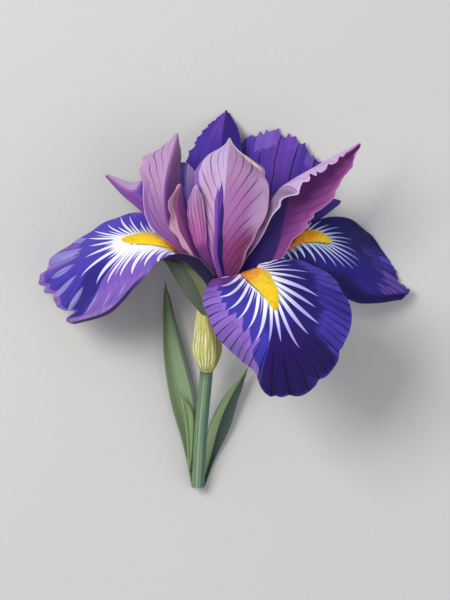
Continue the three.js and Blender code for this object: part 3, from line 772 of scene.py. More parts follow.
def fall_face(name, ground, patches, hem, vein=VEIN, root=WHITE, tip=RAY_TIP, breadth=0.4,
              short=0.4, short_breadth=0.1, glow=0.1, glow_on=(2, 4), rim=0, ring=0.01,
              vein_share=1, slim=4):
    """The face of a hanging petal. Patches are (colour, mask function)."""
    paint = skin_paint(name, ground)
    paint.number, paint.reach = paint.map("fan")
    paint.streak = paint.streaks(paint.number * 1.6, paint.reach * 0.35, 4.0)
    paint.cover_all(patches)
    threads = paint.streaks(paint.number * 14, paint.reach * 1.2, 2.0)
    paint.cover(vein, threads.over(0.45, 0.7) * 0.22)
    # The hem is a paler margin: partly the petal's own paler edge, partly a painted edge highlight.
    paint.cover(hem, to_margin(paint).over(0.975, 1.0) * 0.25)
    outside = paint.reach.over(0.75, 1.05)
    stray = wander(paint, 0.25, 90.0, 1.0)
    dark = veins(paint.number * 2 + stray, paint.reach, 0.95, 9.0, 0.13, seed=3) * outside
    fine = veins(paint.number * 4 + 0.5 + stray, paint.reach, 1.45, 9.0, 0.11, seed=11)
    fine = fine * outside
    dark = dark.most(fine * 0.55) * vein_share
    paint.cover(vein, dark * 0.92)
    paint.slim = 1 - 0.3 * paint.number.under(slim, slim + 1.5)
    white = ray_mask(paint, breadth, 5).most(short_rays(paint, short_breadth, short, 33))
    cool = paint.reach.over(0.0, 0.7) * (0.3 + 0.7 * paint.number.over(4.5, 6))
    paint.cover(paint.mix(root, tip, cool), white)
    lit = paint.reach.under(glow * 0.5, glow) * paint.number.within(*glow_on, 1.2)
    paint.cover(root, lit.most(paint.reach.under(0.06, 0.14) * rim))
    paint.cover(vein, paint.reach.under(ring, ring + 0.03) * 0.85)
    paint.raise_by(white * 0.3 - dark * 0.6)
    return paint.finish(0.5 + 0.12 * paint.mottle, FINE_RELIEF, 0.05, BLUE_SHEEN)


def petal_back(name, stops, vein=VEIN, count=14):
    """The duller back of a petal: a change of colour from foot to tip, and raised veins."""
    paint = skin_paint(name)
    streak = paint.streaks(paint.side * 16, paint.up * 2)
    paint.ramp(stops, paint.up + 0.1 * (streak - 0.5))
    ribs = lines(paint.side * count / 2 + 0.4 * (paint.mottle - 0.5), 0.1)
    paint.cover(vein, (ribs * 0.5).most(streak.over(0.5, 0.7) * 0.25))
    paint.raise_by(ribs * 0.6)
    return paint.finish(0.55 + 0.15 * paint.mottle, COARSE_RELIEF, 0.05)


# %% Front fall
FANS["fall_front"] = {
    "rays": [[7, 10.3, -2.6, 5.4], [9.1, 8.5, -2.2, 0.8], [10.8, 6.7, 0.2, -5.2],
             [13, 4.8, 4.5, -9.5], [14.7, 3.2, 9, -14], [17.7, 0.2, 12.8, -18.5],
             [20.2, -2.4, 18.5, -20], [21.5, -3.7, 24.5, -21], [22.1, -0.6, 32.1, -21.3],
             [22, 2.8, 37, -16.5], [21.4, 5.4, 39.8, -10.5], [20.7, 7.1, 40.5, -5],
             [19.5, 9.3, 40, 0.8], [18.2, 11.3, 38.8, 6.5], [16.1, 12.4, 36, 11.2],
             [13.9, 12.8, 31.8, 14.1]],
    "bows": [(0, -0.4), (5, -0.4), (7, 0), (8, 0.2), (10, 0.05), (12, -0.25), (15, -0.3)],
}
FRONT_PATCHES = [
    (VIOLET, lambda p: p.number.over(9.2, 9.8) * stepped(p, 3, 0.4).over(0.76, 0.82)),
    # Painted highlights: paler blue-violet patches on the folds near the right margin.
    ((96, 80, 200), lambda p: p.number.within(12.2, 14.1, 0.1) * ragged(p, 13).over(0.2, 0.3)
     * stepped(p, 5, 0.25).over(0.95, 1.0) * 0.8),
    (BLUE_VIOLET, lambda p: p.number.over(8.8, 9.0) * ragged(p, 4).over(0.3, 0.35)
     * stepped(p, 5, 0.4).over(1.15, 1.19) * 0.8),
    # Painted shade: indigo where the upper right lobe is overlapped, and navy between the rays
    # beside the beard.
    (INDIGO, lambda p: p.number.over(11.6, 11.8) * p.number.under(13, 13.3) * 0.7
     * p.reach.over(1.05, 1.1)),
    (NAVY, lambda p: p.number.over(8.5, 9.5) * p.reach.under(0.95, 1.15) * 0.75),
    (PURPLE, lambda p: p.number.within(6.1, 9.3, 0.08) * p.reach.over(0.4, 0.7)),
    (INDIGO, lambda p: p.number.within(7.6, 9.3, 0.1) * stepped(p, 8, 0.2).over(1.5, 1.55) * 0.6),
    ((66, 58, 176), lambda p: p.number.within(5.3, 6.1, 0.05) * p.reach.over(0.6, 0.8)),
    ((66, 54, 170), lambda p: p.number.under(5.2, 5.4)),
    (LAVENDER, lambda p: (p.number - 0.75 * p.reach.over(1.15, 1.7)).under(5.25, 5.3)
     * stepped(p, 6, 0.34).over(0.7, 0.73)),
    (SOFT_LAVENDER, lambda p: p.number.under(5.25, 5.3) * p.reach.over(1.0, 1.1)
     * ragged(p, 7).over(0.55, 0.6) * 0.5),
    ((168, 128, 214), lambda p: p.number.within(4.3, 6.0, 0.05) * p.reach.over(1.6, 1.64) * 0.6),
    ((126, 62, 156), lambda p: p.number.under(-0.2, 0.4) * 0.8),
]
front_face = fall_face("front_fall_face", INDIGO, FRONT_PATCHES, (110, 92, 206))
fall_back = petal_back("fall_back", [(0, NAVY), (0.4, (66, 48, 132)), (1, (104, 84, 172))])
blade("fall_front", "fall", [front_face, fall_back], 130, 200, frill=0.5,
      notches=[(0.57, 0.03, 0.03), (0.29, 0.025, 0.02), (0.12, 0.02, 0.02), (-0.14, 0.02, 0.02)])

# %% Left fall
FANS["fall_left"] = {
    "rays": [[-32.9, 27.4, -36.9, 34.1], [-36.4, 27.8, -41.8, 36.1], [-39.4, 27.6, -45.9, 36.8],
             [-42, 27.1, -51.6, 32.9], [-43.8, 26.7, -58.4, 30.1], [-45.1, 26.3, -60.6, 26.5],
             [-45.5, 25.4, -60.9, 22.7], [-45, 24.5, -63.9, 16.5], [-43.7, 23.6, -63.3, 9.5],
             [-41.9, 22.9, -56.5, 5], [-39.3, 22.9, -51.1, 7.1], [-36.7, 22.9, -45.8, 8.6],
             [-32.8, 22.9, -40.4, 10.6], [-28.4, 22.1, -34.9, 12.9], [-24.1, 21.2, -28.3, 15.9]],
    "bows": [(0, -0.3), (3, -0.3), (6, 0), (8, 0.3), (10, 0.45), (14, 0.4)],
}
LEFT_PATCHES = [
    (VIOLET, lambda p: p.number.within(5.2, 8.4, 0.1) * 0.7),
    (INDIGO, lambda p: p.number.within(8.15, 9.35, 0.12) * p.reach.over(0.3, 0.6)),
    ((58, 50, 168), lambda p: p.number.within(8.9, 9.35, 0.06) * p.reach.over(1.1, 1.4) * 0.8),
    (SOFT_LAVENDER, lambda p: p.number.over(9.3, 9.4)),
    (LAVENDER, lambda p: p.number.over(9.3, 9.36) * stepped(p, 6, 0.3).over(0.9, 1.0) * 0.6),
    (MAUVE, lambda p: p.number.under(6.9, 7.1) * stepped(p, 3, 0.35).over(1.0, 1.04)
     * p.side.over(0.35, 0.5)),
    # Painted highlights: pale blue patches and lenses on the folds near the margin.
    (PALE_BLUE, lambda p: p.number.within(1.6, 6.6, 0.1) * ragged(p, 9).over(0.16, 0.2)
     * stepped(p, 10, 0.35).over(0.98, 1.04) * 0.75),
    (PALE_BLUE, lambda p: lens(p, 1.0, 1.62, 0.21, 12, 1.5) * p.number.within(5.8, 8.4, 0.1) * 0.9),
    (ROSE_LILAC, lambda p: (to_margin(p) + 0.06 * p.streak).over(1.0, 1.012)
     * p.number.over(5.5, 7) * p.number.under(8, 9) * 0.6),
    (ROSE_LILAC, lambda p: (p.side + 0.08 * p.streak).under(-0.84, -0.78)
     * p.up.over(0.72, 0.8) * 0.7),
    ((220, 214, 246), lambda p: lens(p, 1.05, 1.85, 0.07, 15) * p.number.within(9.4, 12, 0.1) * 0.8),
    # Painted shade: a dark band along the lower margin, where it turns up.
    ((58, 46, 92), lambda p: (p.side + 0.1 * p.up).under(-0.85, -0.84) * p.up.over(0.5, 0.6)),
]
left_face = fall_face("left_fall_face", (82, 68, 188), LEFT_PATCHES, MAUVE, tip=(232, 232, 252),
                      breadth=0.36, short=0.66, short_breadth=0.24, glow=0.3, glow_on=(4, 9.5),
                      rim=1, ring=-0.04, vein_share=0.3, slim=3)
left_back = petal_back("left_fall_back", [(0, NEAR_BLACK), (0.36, (40, 24, 74)),
                                          (0.52, (92, 70, 116)), (1, (150, 118, 168))])
blade("fall_left", "fall", [left_face, left_back], 140, 110, frill=0.45,
      notches=[(-0.7, 0.055, 0.08)])

# %% Right fall
FANS["fall_right"] = {
    "rays": [[31.2, 23.3, 35, 17.5], [33.5, 24.5, 39.6, 16.2], [36.5, 24.6, 44.4, 14.8],
             [39.1, 24.6, 49.2, 13.6], [40.9, 24.4, 53.4, 12.9], [42.7, 24.2, 57, 12.5],
             [44.5, 24, 60, 12.7], [46, 24.2, 62.3, 14], [46, 24.9, 58.5, 20],
             [45.4, 25.8, 56.5, 23.6], [44.5, 26.7, 55.5, 26], [42.7, 27.8, 53.6, 28.6],
             [41, 28.9, 50.5, 31.5], [39.2, 29.5, 48, 33], [36.5, 29.7, 42.5, 34.2]],
    "bows": [(0, -0.2), (3, -0.35), (7, -0.35), (10, -0.3), (14, -0.1)],
}
RIGHT_PATCHES = [
    (VIOLET, lambda p: p.number.within(3, 9.5, 0.6) * stepped(p, 3, 0.3).over(1.15, 1.3) * 0.5),
    ((50, 40, 156), lambda p: p.number.within(1, 8, 0.5) * p.reach.over(0.2, 0.6) * 0.5),
    (BLUE_VIOLET, lambda p: p.number.within(7.7, 9.2, 0.05) * stepped(p, 4, 0.2).over(1.8, 1.84)
     * ragged(p, 5).over(0.3, 0.35)),
    ((104, 76, 178), lambda p: p.number.within(5.6, 7.9, 0.08) * stepped(p, 6, 0.3).over(1.42, 1.5)),
    # Painted shade: the lower left part and the near strip, which turn away from the lamp.
    ((14, 14, 60), lambda p: p.number.under(3.2, 4.6) * p.reach.over(1.0, 1.5) * 0.75),
    (NAVY, lambda p: p.side.under(-0.68, -0.6)),
]
right_face = fall_face("right_fall_face", (26, 20, 98), RIGHT_PATCHES, VIOLET, (14, 8, 46),
                       root=(206, 216, 246), tip=(150, 160, 228), breadth=0.34,
                       short_breadth=0.12, slim=-3)
blade("fall_right", "fall", [right_face, fall_back], 120, 100, frill=0.4)

# %% [markdown]
# ## The upright petals
#
# The standards are thinner and paler than the falls, plum at the foot and lilac at the tip.
# Their veins leave the middle and curve out to the margins, like those of a leaf. A fan of
# straight lines would be simpler, but it looks like cloth and not like a petal.

# %% Finish of an upright petal
PLUM = (118, 44, 108)
LILAC = (196, 164, 212)
PALE = (206, 186, 224)
ROSE = (208, 152, 194)
DARK_VEIN = (52, 20, 74)


def finish_veined(paint, vein, threads, dark, strength, sheen):
    """Lays on faint threads and dark veins, and finishes the petal."""
    paint.cover(vein, threads)
    paint.cover(vein, dark * strength)
    paint.raise_by(-dark * 0.6)
    return paint.finish(0.5 + 0.14 * paint.mottle, FINE_RELIEF, 0.1, sheen)


def upright_face(name, stops, patches, slant, count, bend=0.7, strength=0.9, vein=DARK_VEIN):
    """The face of an upright petal. Its veins curve from the middle to the margins."""
    paint = skin_paint(name)
    paint.streak = paint.streaks(paint.side * 6, paint.up * 1.2, 4.0)
    away = paint.side.math("ABSOLUTE")
    half = paint.side.math("GREATER_THAN", 0) * 0.5
    paint.number = (paint.up - slant * away.math("POWER", bend)) * count + half
    paint.number = paint.number + wander(paint, 0.6, 60.0)
    paint.ramp(stops, paint.up + 0.16 * (paint.streak - 0.5))
    paint.cover_all(patches)
    threads = paint.streaks(paint.number * 3, paint.side * 1.5, 2.0).over(0.5, 0.75)
    dark = veins(paint.number, away, 0.02, 1.02, 0.085, seed=2)
    fine = veins(paint.number * 3 + 0.5, away, 0.25, 1.0, 0.1, seed=9)
    dark = dark.most(fine * 0.3)
    return finish_veined(paint, vein, threads * 0.16, dark, strength, PINK_SHEEN)


# %% Centre standard
CENTRE_STOPS = [(0, PLUM), (0.2, (138, 56, 124)), (0.5, (166, 108, 168)),
                (0.85, (172, 130, 172)), (1, (186, 150, 194))]


def channel(paint, left, right, top):
    """1 in a pointed band between two sides, which nears the middle towards the tip."""
    place = paint.side + 0.12 * paint.up + 0.05 * (paint.streak - 0.5)
    narrow = paint.up.over(top - 0.16, top) * (right - left) * 0.5
    return place.over(left + narrow, left + narrow + 0.015) * place.under(
        right - narrow - 0.015, right - narrow) * paint.up.under(top - 0.01, top)


CENTRE_PATCHES = [
    ((204, 172, 214), lambda p: p.side.over(0.45, 0.8) * p.up.within(0.35, 0.72, 0.08) * 0.7),
    ((150, 70, 110), lambda p: p.side.over(0.1, 0.7) * p.up.under(0.16, 0.45) * 0.7),
    (ROSE, lambda p: p.side.over(0.9, 0.96) * p.up.within(0.05, 0.7, 0.1) * 0.7),
    # Painted light on the near half of the fold.
    (PALE, lambda p: p.side.under(-0.02, 0.0) * p.up.over(0.25, 0.6) * 0.75),
    (ROSE, lambda p: p.side.within(-0.62, -0.3, 0.04) * p.up.under(0.72, 0.8) * 0.55),
    ((146, 94, 176), lambda p: (p.side + 0.2 + 0.9 * p.up).under(-0.02, 0.02)
     * p.up.over(0.02, 0.1)),
    # A cream painted highlight along the upper right margin.
    ((240, 222, 190), lambda p: (p.side + 2.1 * p.up).over(2.48, 2.52)
     * p.side.within(0.2, 0.9, 0.03)),
    # Painted shade in the groove between the two halves, darkest towards the foot.
    ((128, 74, 176), lambda p: channel(p, -0.2, -0.02, 0.7)),
    ((96, 48, 150), lambda p: channel(p, -0.1, 0.05, 0.74)),
    ((46, 28, 108), lambda p: channel(p, -0.04, 0.1, 0.62)),
    ((30, 18, 84), lambda p: channel(p, -0.02, 0.16, 0.42)),
]
centre_face = upright_face("centre_standard_face", CENTRE_STOPS, CENTRE_PATCHES, 0.5, 9, 0.62)
upright_back = petal_back("upright_back", [(0, PLUM), (0.4, (144, 88, 160)), (1, LILAC)],
                          DARK_VEIN, 18)
blade("standard_centre", "standard", [centre_face, upright_back], 110, 80, frill=0.4, point=0.88,
      right={"waves": 3, "lift": 0.8},
      bulges=[(0.78, 1, 1.0, 0.04), (0.72, 1, -0.6, 0.03), (0.6, 1, 0.5, 0.07),
              (0.36, 1, -1.3, 0.06), (0.2, 1, -1.0, 0.05), (0.74, -1, 0.7, 0.03),
              (0.68, -1, 0.6, 0.03), (0.55, -1, -0.4, 0.05)])

# %% Left standard
LEFT_STOPS = [(0, PLUM), (0.16, (136, 56, 130)), (0.34, (138, 90, 156)), (0.7, (172, 124, 172)),
              (1, (196, 156, 198))]
LEFT_STANDARD_PATCHES = [
    # Painted light on the near half of the fold.
    ((192, 154, 196), lambda p: p.side.under(-0.04, 0.0) * p.up.over(0.45, 0.75) * 0.8),
    ((126, 78, 160), lambda p: p.side.within(-0.98, -0.72, 0.03)
     * p.up.within(0.12, 0.62, 0.08) * 0.7),
    # Painted shade on the half past the crease.
    ((124, 70, 150), lambda p: p.side.over(-0.01, 0.01) * (0.35 + 0.6 * p.up.under(0.55, 0.9))),
    ((150, 60, 132), lambda p: p.side.under(-0.5, -0.2) * p.up.under(0.18, 0.3) * 0.8),
    (ROSE, lambda p: p.side.under(-0.97, -0.94) * 0.9),
]
left_standard_face = upright_face("left_standard_face", LEFT_STOPS, LEFT_STANDARD_PATCHES,
                                  0.5, 8, 0.8)
blade("standard_left", "standard", [left_standard_face, upright_back], 110, 72, frill=0.4,
      point=0.9, left={"waves": 3, "lift": 0.8},
      bulges=[(0.93, -1, 2.4, 0.04), (0.84, -1, 2.4, 0.035), (0.77, -1, -0.7, 0.02),
              (0.71, -1, 0.8, 0.04), (0.63, -1, -0.6, 0.03), (0.56, -1, 0.5, 0.05)])

# %% [markdown]
# The right standard is rolled: its left margin turns over, so what shows there is the pale
# back of the petal, and its plum inside lies below. That is why it gets a back of its own.

# %% Right standard
INSIDE_STOPS = [(0, (54, 28, 98)), (0.3, (92, 34, 104)), (0.7, (108, 44, 116)),
                (1, (150, 74, 146))]
INSIDE_PATCHES = [
    ((136, 60, 132), lambda p: p.side.over(0.3, 0.75) * 0.9),
    ((164, 92, 156), lambda p: p.side.over(0.72, 0.9) * p.up.over(0.3, 0.5) * 0.7),
    ((196, 136, 186), lambda p: p.side.over(0.96, 0.99) * 0.8),
    ((76, 26, 86), lambda p: p.side.within(-0.3, 0.25, 0.2) * p.up.over(0.5, 0.6) * 0.55),
    ((42, 24, 98), lambda p: (p.side - 1.15 + 2.2 * p.up + 0.1 * p.streak).under(0.04, 0.1)
     * p.up.under(0.56, 0.66)),
]


def curl_place(paint):
    """The place along the roll, bowed as the curl in its margin is."""
    return paint.up + 0.5 * (paint.side + 0.76).math("POWER", 2)


ROLL_PATCHES = [
    # Painted shade on the turned-over rim of the roll.
    ((140, 112, 138), lambda p: p.side.within(-0.92, -0.3, 0.04)
     * curl_place(p).within(0.3, 0.62, 0.02) * 0.9),
    (DARK_VEIN, lambda p: curl_place(p).within(0.625, 0.632, 0.005)
     * p.side.under(-0.3, -0.2) * 0.8),
    (PALE, lambda p: p.side.under(-0.94, -0.92)),
]
inside_face = upright_face("right_standard_face", INSIDE_STOPS, INSIDE_PATCHES, 0.3, 9,
                           strength=0.5, vein=(48, 16, 60))
rolled_back = upright_face(
    "right_standard_back", [(0, (150, 110, 170)), (0.45, LILAC), (1, (206, 170, 216))],
    ROLL_PATCHES, 0.4, 8, strength=0.3)
blade("standard_right", "standard", [inside_face, rolled_back], 140, 96, frill=0.3,
      left={"cuts": 7, "begin": 0.63, "depth": 0.3, "waves": 5, "lift": 0.4},
      right={"cuts": 6, "begin": 0.2, "depth": 0.14, "waves": 4, "lift": 0.7},
      bulges=[(0.9, 1, 0.8, 0.03), (0.8, 1, -0.6, 0.04), (0.68, 1, 0.8, 0.04),
              (0.57, 1, -0.5, 0.04), (0.47, 1, 0.8, 0.04), (0.6, -1, 1.9, 0.035),
              (0.51, -1, -1.3, 0.04)])

# %% [markdown]
# ## The petals behind
#
# Two deep violet petals stand behind the others. Only their toothed margins catch light,
# and that light is painted into their colour.
# Their veins spread from the foot like an opened hand.

# %% Finish of a petal behind


def rear_face(name, stops, patches, count, strength=0.85, width=0.09, between=0.7, vein=VEIN):
    """The face of a petal whose veins run from foot to tip, with finer ones between them."""
    paint = skin_paint(name)
    spread = paint.side * count / 2
    paint.number = spread + wander(paint, 0.35, 50.0)
    paint.streak = paint.streaks(spread, paint.up * 0.8, 4.0)
    paint.ramp(stops, paint.up + 0.12 * (paint.streak - 0.5))
    paint.cover_all(patches)
    threads = paint.streaks(paint.side * count * 3, paint.up * 2, 2.0).over(0.5, 0.75)
    dark = veins(paint.number, paint.up, 0.02, 1.25, width, seed=4)
    fine = veins(paint.number * 2 + 0.5, paint.up, 0.45, 1.25, width, seed=6)
    dark = dark.most(fine * between)
    return finish_veined(paint, vein, threads * 0.2, dark, strength, VIOLET_SHEEN)


# %% The two toothed petals
DEEP_VIOLET = (54, 36, 130)
REAR_STOPS = [(0, (44, 30, 104)), (0.4, (58, 38, 136)), (0.75, (84, 54, 164)), (1, (98, 64, 174))]
rear_left_face = rear_face(
    "rear_left_face", REAR_STOPS,
    # Painted shade on the half past the crease, and painted light on the left half.
    [((50, 28, 122), lambda p: p.side.over(-0.02, 0.02)),
     ((90, 64, 184), lambda p: p.side.under(-0.3, -0.1) * p.up.under(0.72, 0.85) * 0.75),
     ((118, 76, 184), lambda p: p.side.within(-0.6, -0.05, 0.1) * p.up.over(0.7, 0.85) * 0.75)],
    7, strength=0.3)
rear_right_face = rear_face(
    "rear_right_face", REAR_STOPS,
    # The paler patches near the toothed tip are painted light.
    [((130, 94, 196), lambda p: ragged(p, 14).over(0.45, 0.5)
      * (p.up - 0.08 * ragged(p, 15)).over(0.84, 0.86) * p.side.over(0.1, 0.12) * 0.5),
     ((112, 68, 176), lambda p: p.side.within(-0.2, 0.4, 0.2) * p.up.over(0.5, 0.8) * 0.7),
     ((132, 96, 198), lambda p: p.side.within(-0.6, -0.07, 0.02)
      * (p.up - 0.06 * p.side).over(0.87, 0.88) * 0.8),
     (DEEP_VIOLET, lambda p: p.side.over(0.35, 0.7) * ragged(p, 16).under(0.5, 0.55) * 0.6)],
    4.6, width=0.07, between=0.25)
rear_back = petal_back("rear_back", [(0, NEAR_BLACK), (0.5, (56, 38, 112)), (1, (94, 72, 160))])
blade("rear_petal_left", "rear_petal", [rear_left_face, rear_back], 160, 64,
      left={"cuts": 11, "begin": 0.45, "depth": 0.13, "pointed": True})
blade("rear_petal_right", "rear_petal", [rear_right_face, rear_back], 90, 160, frill=0.35,
      tip={"cuts": 9, "depth": 0.06, "pointed": True, "waves": 3, "lift": 0.6})

# %% The narrow petals at the sides
side_left_face = rear_face(
    "side_left_face",
    [(0, INDIGO), (0.5, VIOLET), (0.66, (160, 100, 178)), (1, (178, 124, 190))],
    [((142, 82, 170), lambda p: p.side.under(-0.1, 0.05) * p.up.over(0.3, 0.5) * 0.85),
     ((206, 178, 222), lambda p: p.side.over(0.2, 0.35) * p.up.over(0.58, 0.66) * 0.8)],
    4, strength=0.3)
side_right_face = rear_face(
    "side_right_face", [(0, NAVY), (0.5, DEEP_VIOLET), (1, (74, 48, 152))], [], 5, strength=0.4)
blade("side_petal_left", "standard", [side_left_face, rear_back], 70, 28,
      bulges=[(0.56, 1, 0.9, 0.05)])
blade("side_petal_right", "rear_petal", [side_right_face, rear_back], 60, 24)

# %% [markdown]
# ## Style arms
#
# In the middle stand three small petal-like arms. One is pink with fine dark stripes, one
# has a curled peach rim, and one at the back is blue-violet on one side and lilac on the
# other. They are the same kind of blade as the petals, with finishes of their own.

# %% Three style arms
striped_face = rear_face(
    "striped_style_face", [(0, (92, 40, 108)), (0.26, (122, 58, 128)), (0.36, (186, 100, 166)),
                           (0.66, (190, 124, 178)), (1, LILAC)],
    [((206, 160, 206), lambda p: ragged(p, 21).over(0.5, 0.55) * p.up.over(0.5, 0.6) * 0.7),
     ((168, 78, 156), lambda p: ragged(p, 22).over(0.5, 0.55)
      * p.up.within(0.3, 0.6, 0.05) * 0.6)],
    5, 0.95, 0.1, vein=DARK_VEIN)
curled_face = rear_face(
    "curled_style_face", [(0, (104, 44, 104)), (0.4, (132, 64, 128)), (1, (168, 100, 158))],
    [((206, 152, 176), lambda p: (p.side - 0.15 * p.streak + 0.14 * (p.up * 17).math("SINE"))
      .under(-0.2, -0.14)),
     # Painted shade inside the curl.
     ((92, 40, 104), lambda p: p.side.over(0.25, 0.6) * 0.7)],
    4, 0.3, vein=DARK_VEIN)
rear_style_face = rear_face(
    "rear_style_face", [(0, (70, 44, 126)), (0.5, (118, 84, 168)), (1, (178, 150, 206))],
    [((104, 86, 186), lambda p: p.side.under(-0.1, 0.1) * 0.85)], 6, 0.35, vein=DARK_VEIN)
CURLS = [(0.8, -1, 0.6, 0.05), (0.65, -1, -1.0, 0.05), (0.53, -1, 0.9, 0.04),
         (0.41, -1, -0.7, 0.04), (0.3, -1, 0.5, 0.04)]
STYLES = {"style_striped": (striped_face, []), "style_curled": (curled_face, CURLS),
          "style_rear": (rear_style_face, [(0.8, 1, 0.7, 0.05), (0.9, 1, -0.4, 0.03)])}
for node, (face, bulges) in STYLES.items():
    blade(node, "style", [face, upright_back], 80, 30, name=node + "_arm", frill=0.25,
          bulges=bulges)

# %% [markdown]
# ## Leaves
#
# The leaves of an iris are swords folded along the middle. Their veins run side by side
# from end to end, so the finish is streaks along the leaf. One half of most leaves is
# painted lighter than the other, as painted light on one half and painted shade on the other.

# %% Finish of a leaf


def leaf_face(name, across_stops, patches=()):
    """Streaks along the leaf, with a colour that changes from margin to margin."""
    paint = skin_paint(name)
    streak = paint.streaks(paint.side * 22, paint.up * 1.5)
    broad = paint.streaks(paint.side * 3, paint.up * 2.2, 2.0)
    paint.ramp(across_stops, paint.side * 0.5 + 0.5 + 0.08 * (streak - 0.5))
    paint.cover_all(patches)
    paint.cover((168, 188, 134), streak.over(0.55, 0.75) * 0.25)
    paint.cover((84, 108, 88), broad.over(0.52, 0.75) * 0.25)
    fibres = lines(paint.side * 8, 0.16)
    paint.cover((70, 92, 72), fibres * 0.3)
    paint.cover((150, 132, 84), paint.up.over(0.965, 1.0) * paint.mottle.over(0.3, 0.6) * 0.6)
    paint.raise_by(fibres * 0.8 + streak * 0.3)
    return paint.finish(0.46 + 0.14 * paint.mottle, COARSE_RELIEF)


# %% Four leaves
LEAF_WALL = 0.7
LEAF_GREEN = (138, 162, 120)
LEAF_LIGHT = (174, 198, 142)
# Painted light: a lighter green for the half of the long leaf that turns away from the lamp.
LEAF_PAINTED_LIGHT = (152, 176, 134)
long_face = leaf_face("long_leaf_face", [(0, LEAF_GREEN), (0.5, LEAF_GREEN), (0.6, LEAF_PAINTED_LIGHT),
                                         (0.86, LEAF_PAINTED_LIGHT), (0.92, (104, 114, 104))])
small_face = leaf_face("small_leaf_face",
                       [(0, LEAF_LIGHT), (0.5, LEAF_LIGHT), (1, (158, 184, 130))])
# Painted light on the left half of the fold, painted shade on the right half.
folded_face = leaf_face("folded_leaf_face", [(0, (190, 212, 158)), (0.46, (184, 208, 152)),
                                             (0.52, (88, 106, 100)), (1, (84, 100, 96))])
bract_face = leaf_face(
    "sheath_leaf_face", [(0, (104, 110, 96)), (0.5, (98, 106, 94)), (1, (112, 116, 100))],
    [((150, 152, 98), lambda p: (p.side - 0.3 * p.up).over(0.3, 0.4) * 0.8)])
leaf_back = leaf_face("leaf_back",
                      [(0, (96, 118, 92)), (0.5, (112, 136, 100)), (1, (90, 112, 90))])
LEAVES = {"leaf_left": (long_face, 0.9), "leaf_left_small": (small_face, 0.7),
          "leaf_right": (folded_face, 0.8)}
for node, (face, point) in LEAVES.items():
    blade(node, "leaf", [face, leaf_back], 110, 28, LEAF_WALL, node + "_blade", point=point)
blade("bract", "leaf", [bract_face, leaf_back], 90, 36, LEAF_WALL, "sheath_leaf")

# %% [markdown]
# ## Stem, sheath, tube and stamens
#
# These are round, so they are rings along a line. A curve with a bevel would give a plain
# pipe. Here a sheet is rolled up instead, because its radius can change along the line and
# round it, which makes the pleats of the sheath and the groove of an anther.

# %% A rolled body
BODY_CREASE = 40
JOIN_WITHIN = 0.00001


def smooth_line(points, count):
    """Points at even distances along a smooth line through the given points."""
    fine = on_line(points, np.linspace(0, 1, 400))
    walked = np.concatenate([[0], np.cumsum(np.linalg.norm(np.diff(fine, axis=0), axis=1))])
    even = np.linspace(0, walked[-1], count)
    return np.stack([np.interp(even, walked, fine[:, axis]) for axis in range(3)], axis=1)


def close_ends():
    """Joins the sheet's two margins and fills the holes at its ends."""
    bpy.ops.mesh.remove_doubles(threshold=JOIN_WITHIN)
    bpy.ops.mesh.select_all(action="DESELECT")
    bpy.ops.mesh.select_non_manifold()
    bpy.ops.mesh.fill_holes(sides=0)
    bpy.ops.mesh.select_all(action="SELECT")
    bpy.ops.mesh.normals_make_consistent(inside=False)


def rolled(name, node, centres, radius_at, sides, material):
    """A sheet rolled up round a line of centres, closed at both ends."""
    rings = len(centres)
    piece, around, along = sheet(name, sides, rings - 1)
    angle, t = np.pi * (around + 1), (along + 1) / 2
    ring = np.rint(t * (rings - 1)).astype(int)
    forward = unit(np.gradient(centres, axis=0))
    side = unit(np.cross([0, 0, 1], forward))
    raised = np.cross(forward, side)
    turned = np.cos(angle)[:, None] * side[ring] + np.sin(angle)[:, None] * raised[ring]
    move_to(piece, centres[ring] + radius_at(t, angle)[:, None] * turned)
    on_all_faces(close_ends)
    piece.data.materials.append(material)
    bpy.ops.object.shade_smooth_by_angle(angle=math.radians(BODY_CREASE))
    keep(piece, node)


# %% The stalk's line
LINE_POINTS = 2000
FLOWER_AXIS = np.array([0.03, 0.945, 0.326])
FLOWER_AXIS /= np.linalg.norm(FLOWER_AXIS)
HEART = np.array([0, 9, 37])
TUBE_TOP = HEART - 0.3 * FLOWER_AXIS
STALK = smooth_line([(-12, -83.4, 4), (-10.6, -58, 12.2), (-8.2, -32.4, 22), (-7.8, -18, 26.8),
                     (-7.6, -4.6, 31.4), TUBE_TOP - 5 * FLOWER_AXIS, TUBE_TOP],
                    LINE_POINTS)


def stalk_part(begin, end, count):
    """Centres on the stalk between two heights, which are measured from the surface."""
    first, last = np.searchsorted(STALK[:, 2], [begin, end])
    return STALK[np.linspace(first, min(last, len(STALK) - 1), count).astype(int)]


# %% Stem
STEM_RADIUS = 2.8


def tissue(name, stops, patches, ribs, rib_colour, relief=COARSE_RELIEF, broken=0.0):
    """Tissue of a round piece: stripes along it, and colours by the place round it."""
    paint = skin_paint(name)
    streak = paint.streaks(paint.side * 9, paint.up * 3)
    paint.ramp(stops, streak)
    paint.cover_all(patches)
    stray = broken * (paint.streaks(paint.side * 5, paint.up * 2.5, 2.0) - 0.5)
    gaps = streak.over(0.3 + 0.22 * broken, 0.5 + 0.22 * broken)
    stripes = lines(paint.side * ribs / 2 + stray, 0.26) * gaps
    paint.cover(rib_colour, stripes * 0.7)
    paint.raise_by(-stripes * 0.6 + 0.3 * paint.mottle)
    return paint.finish(0.45 + 0.15 * paint.mottle, relief)


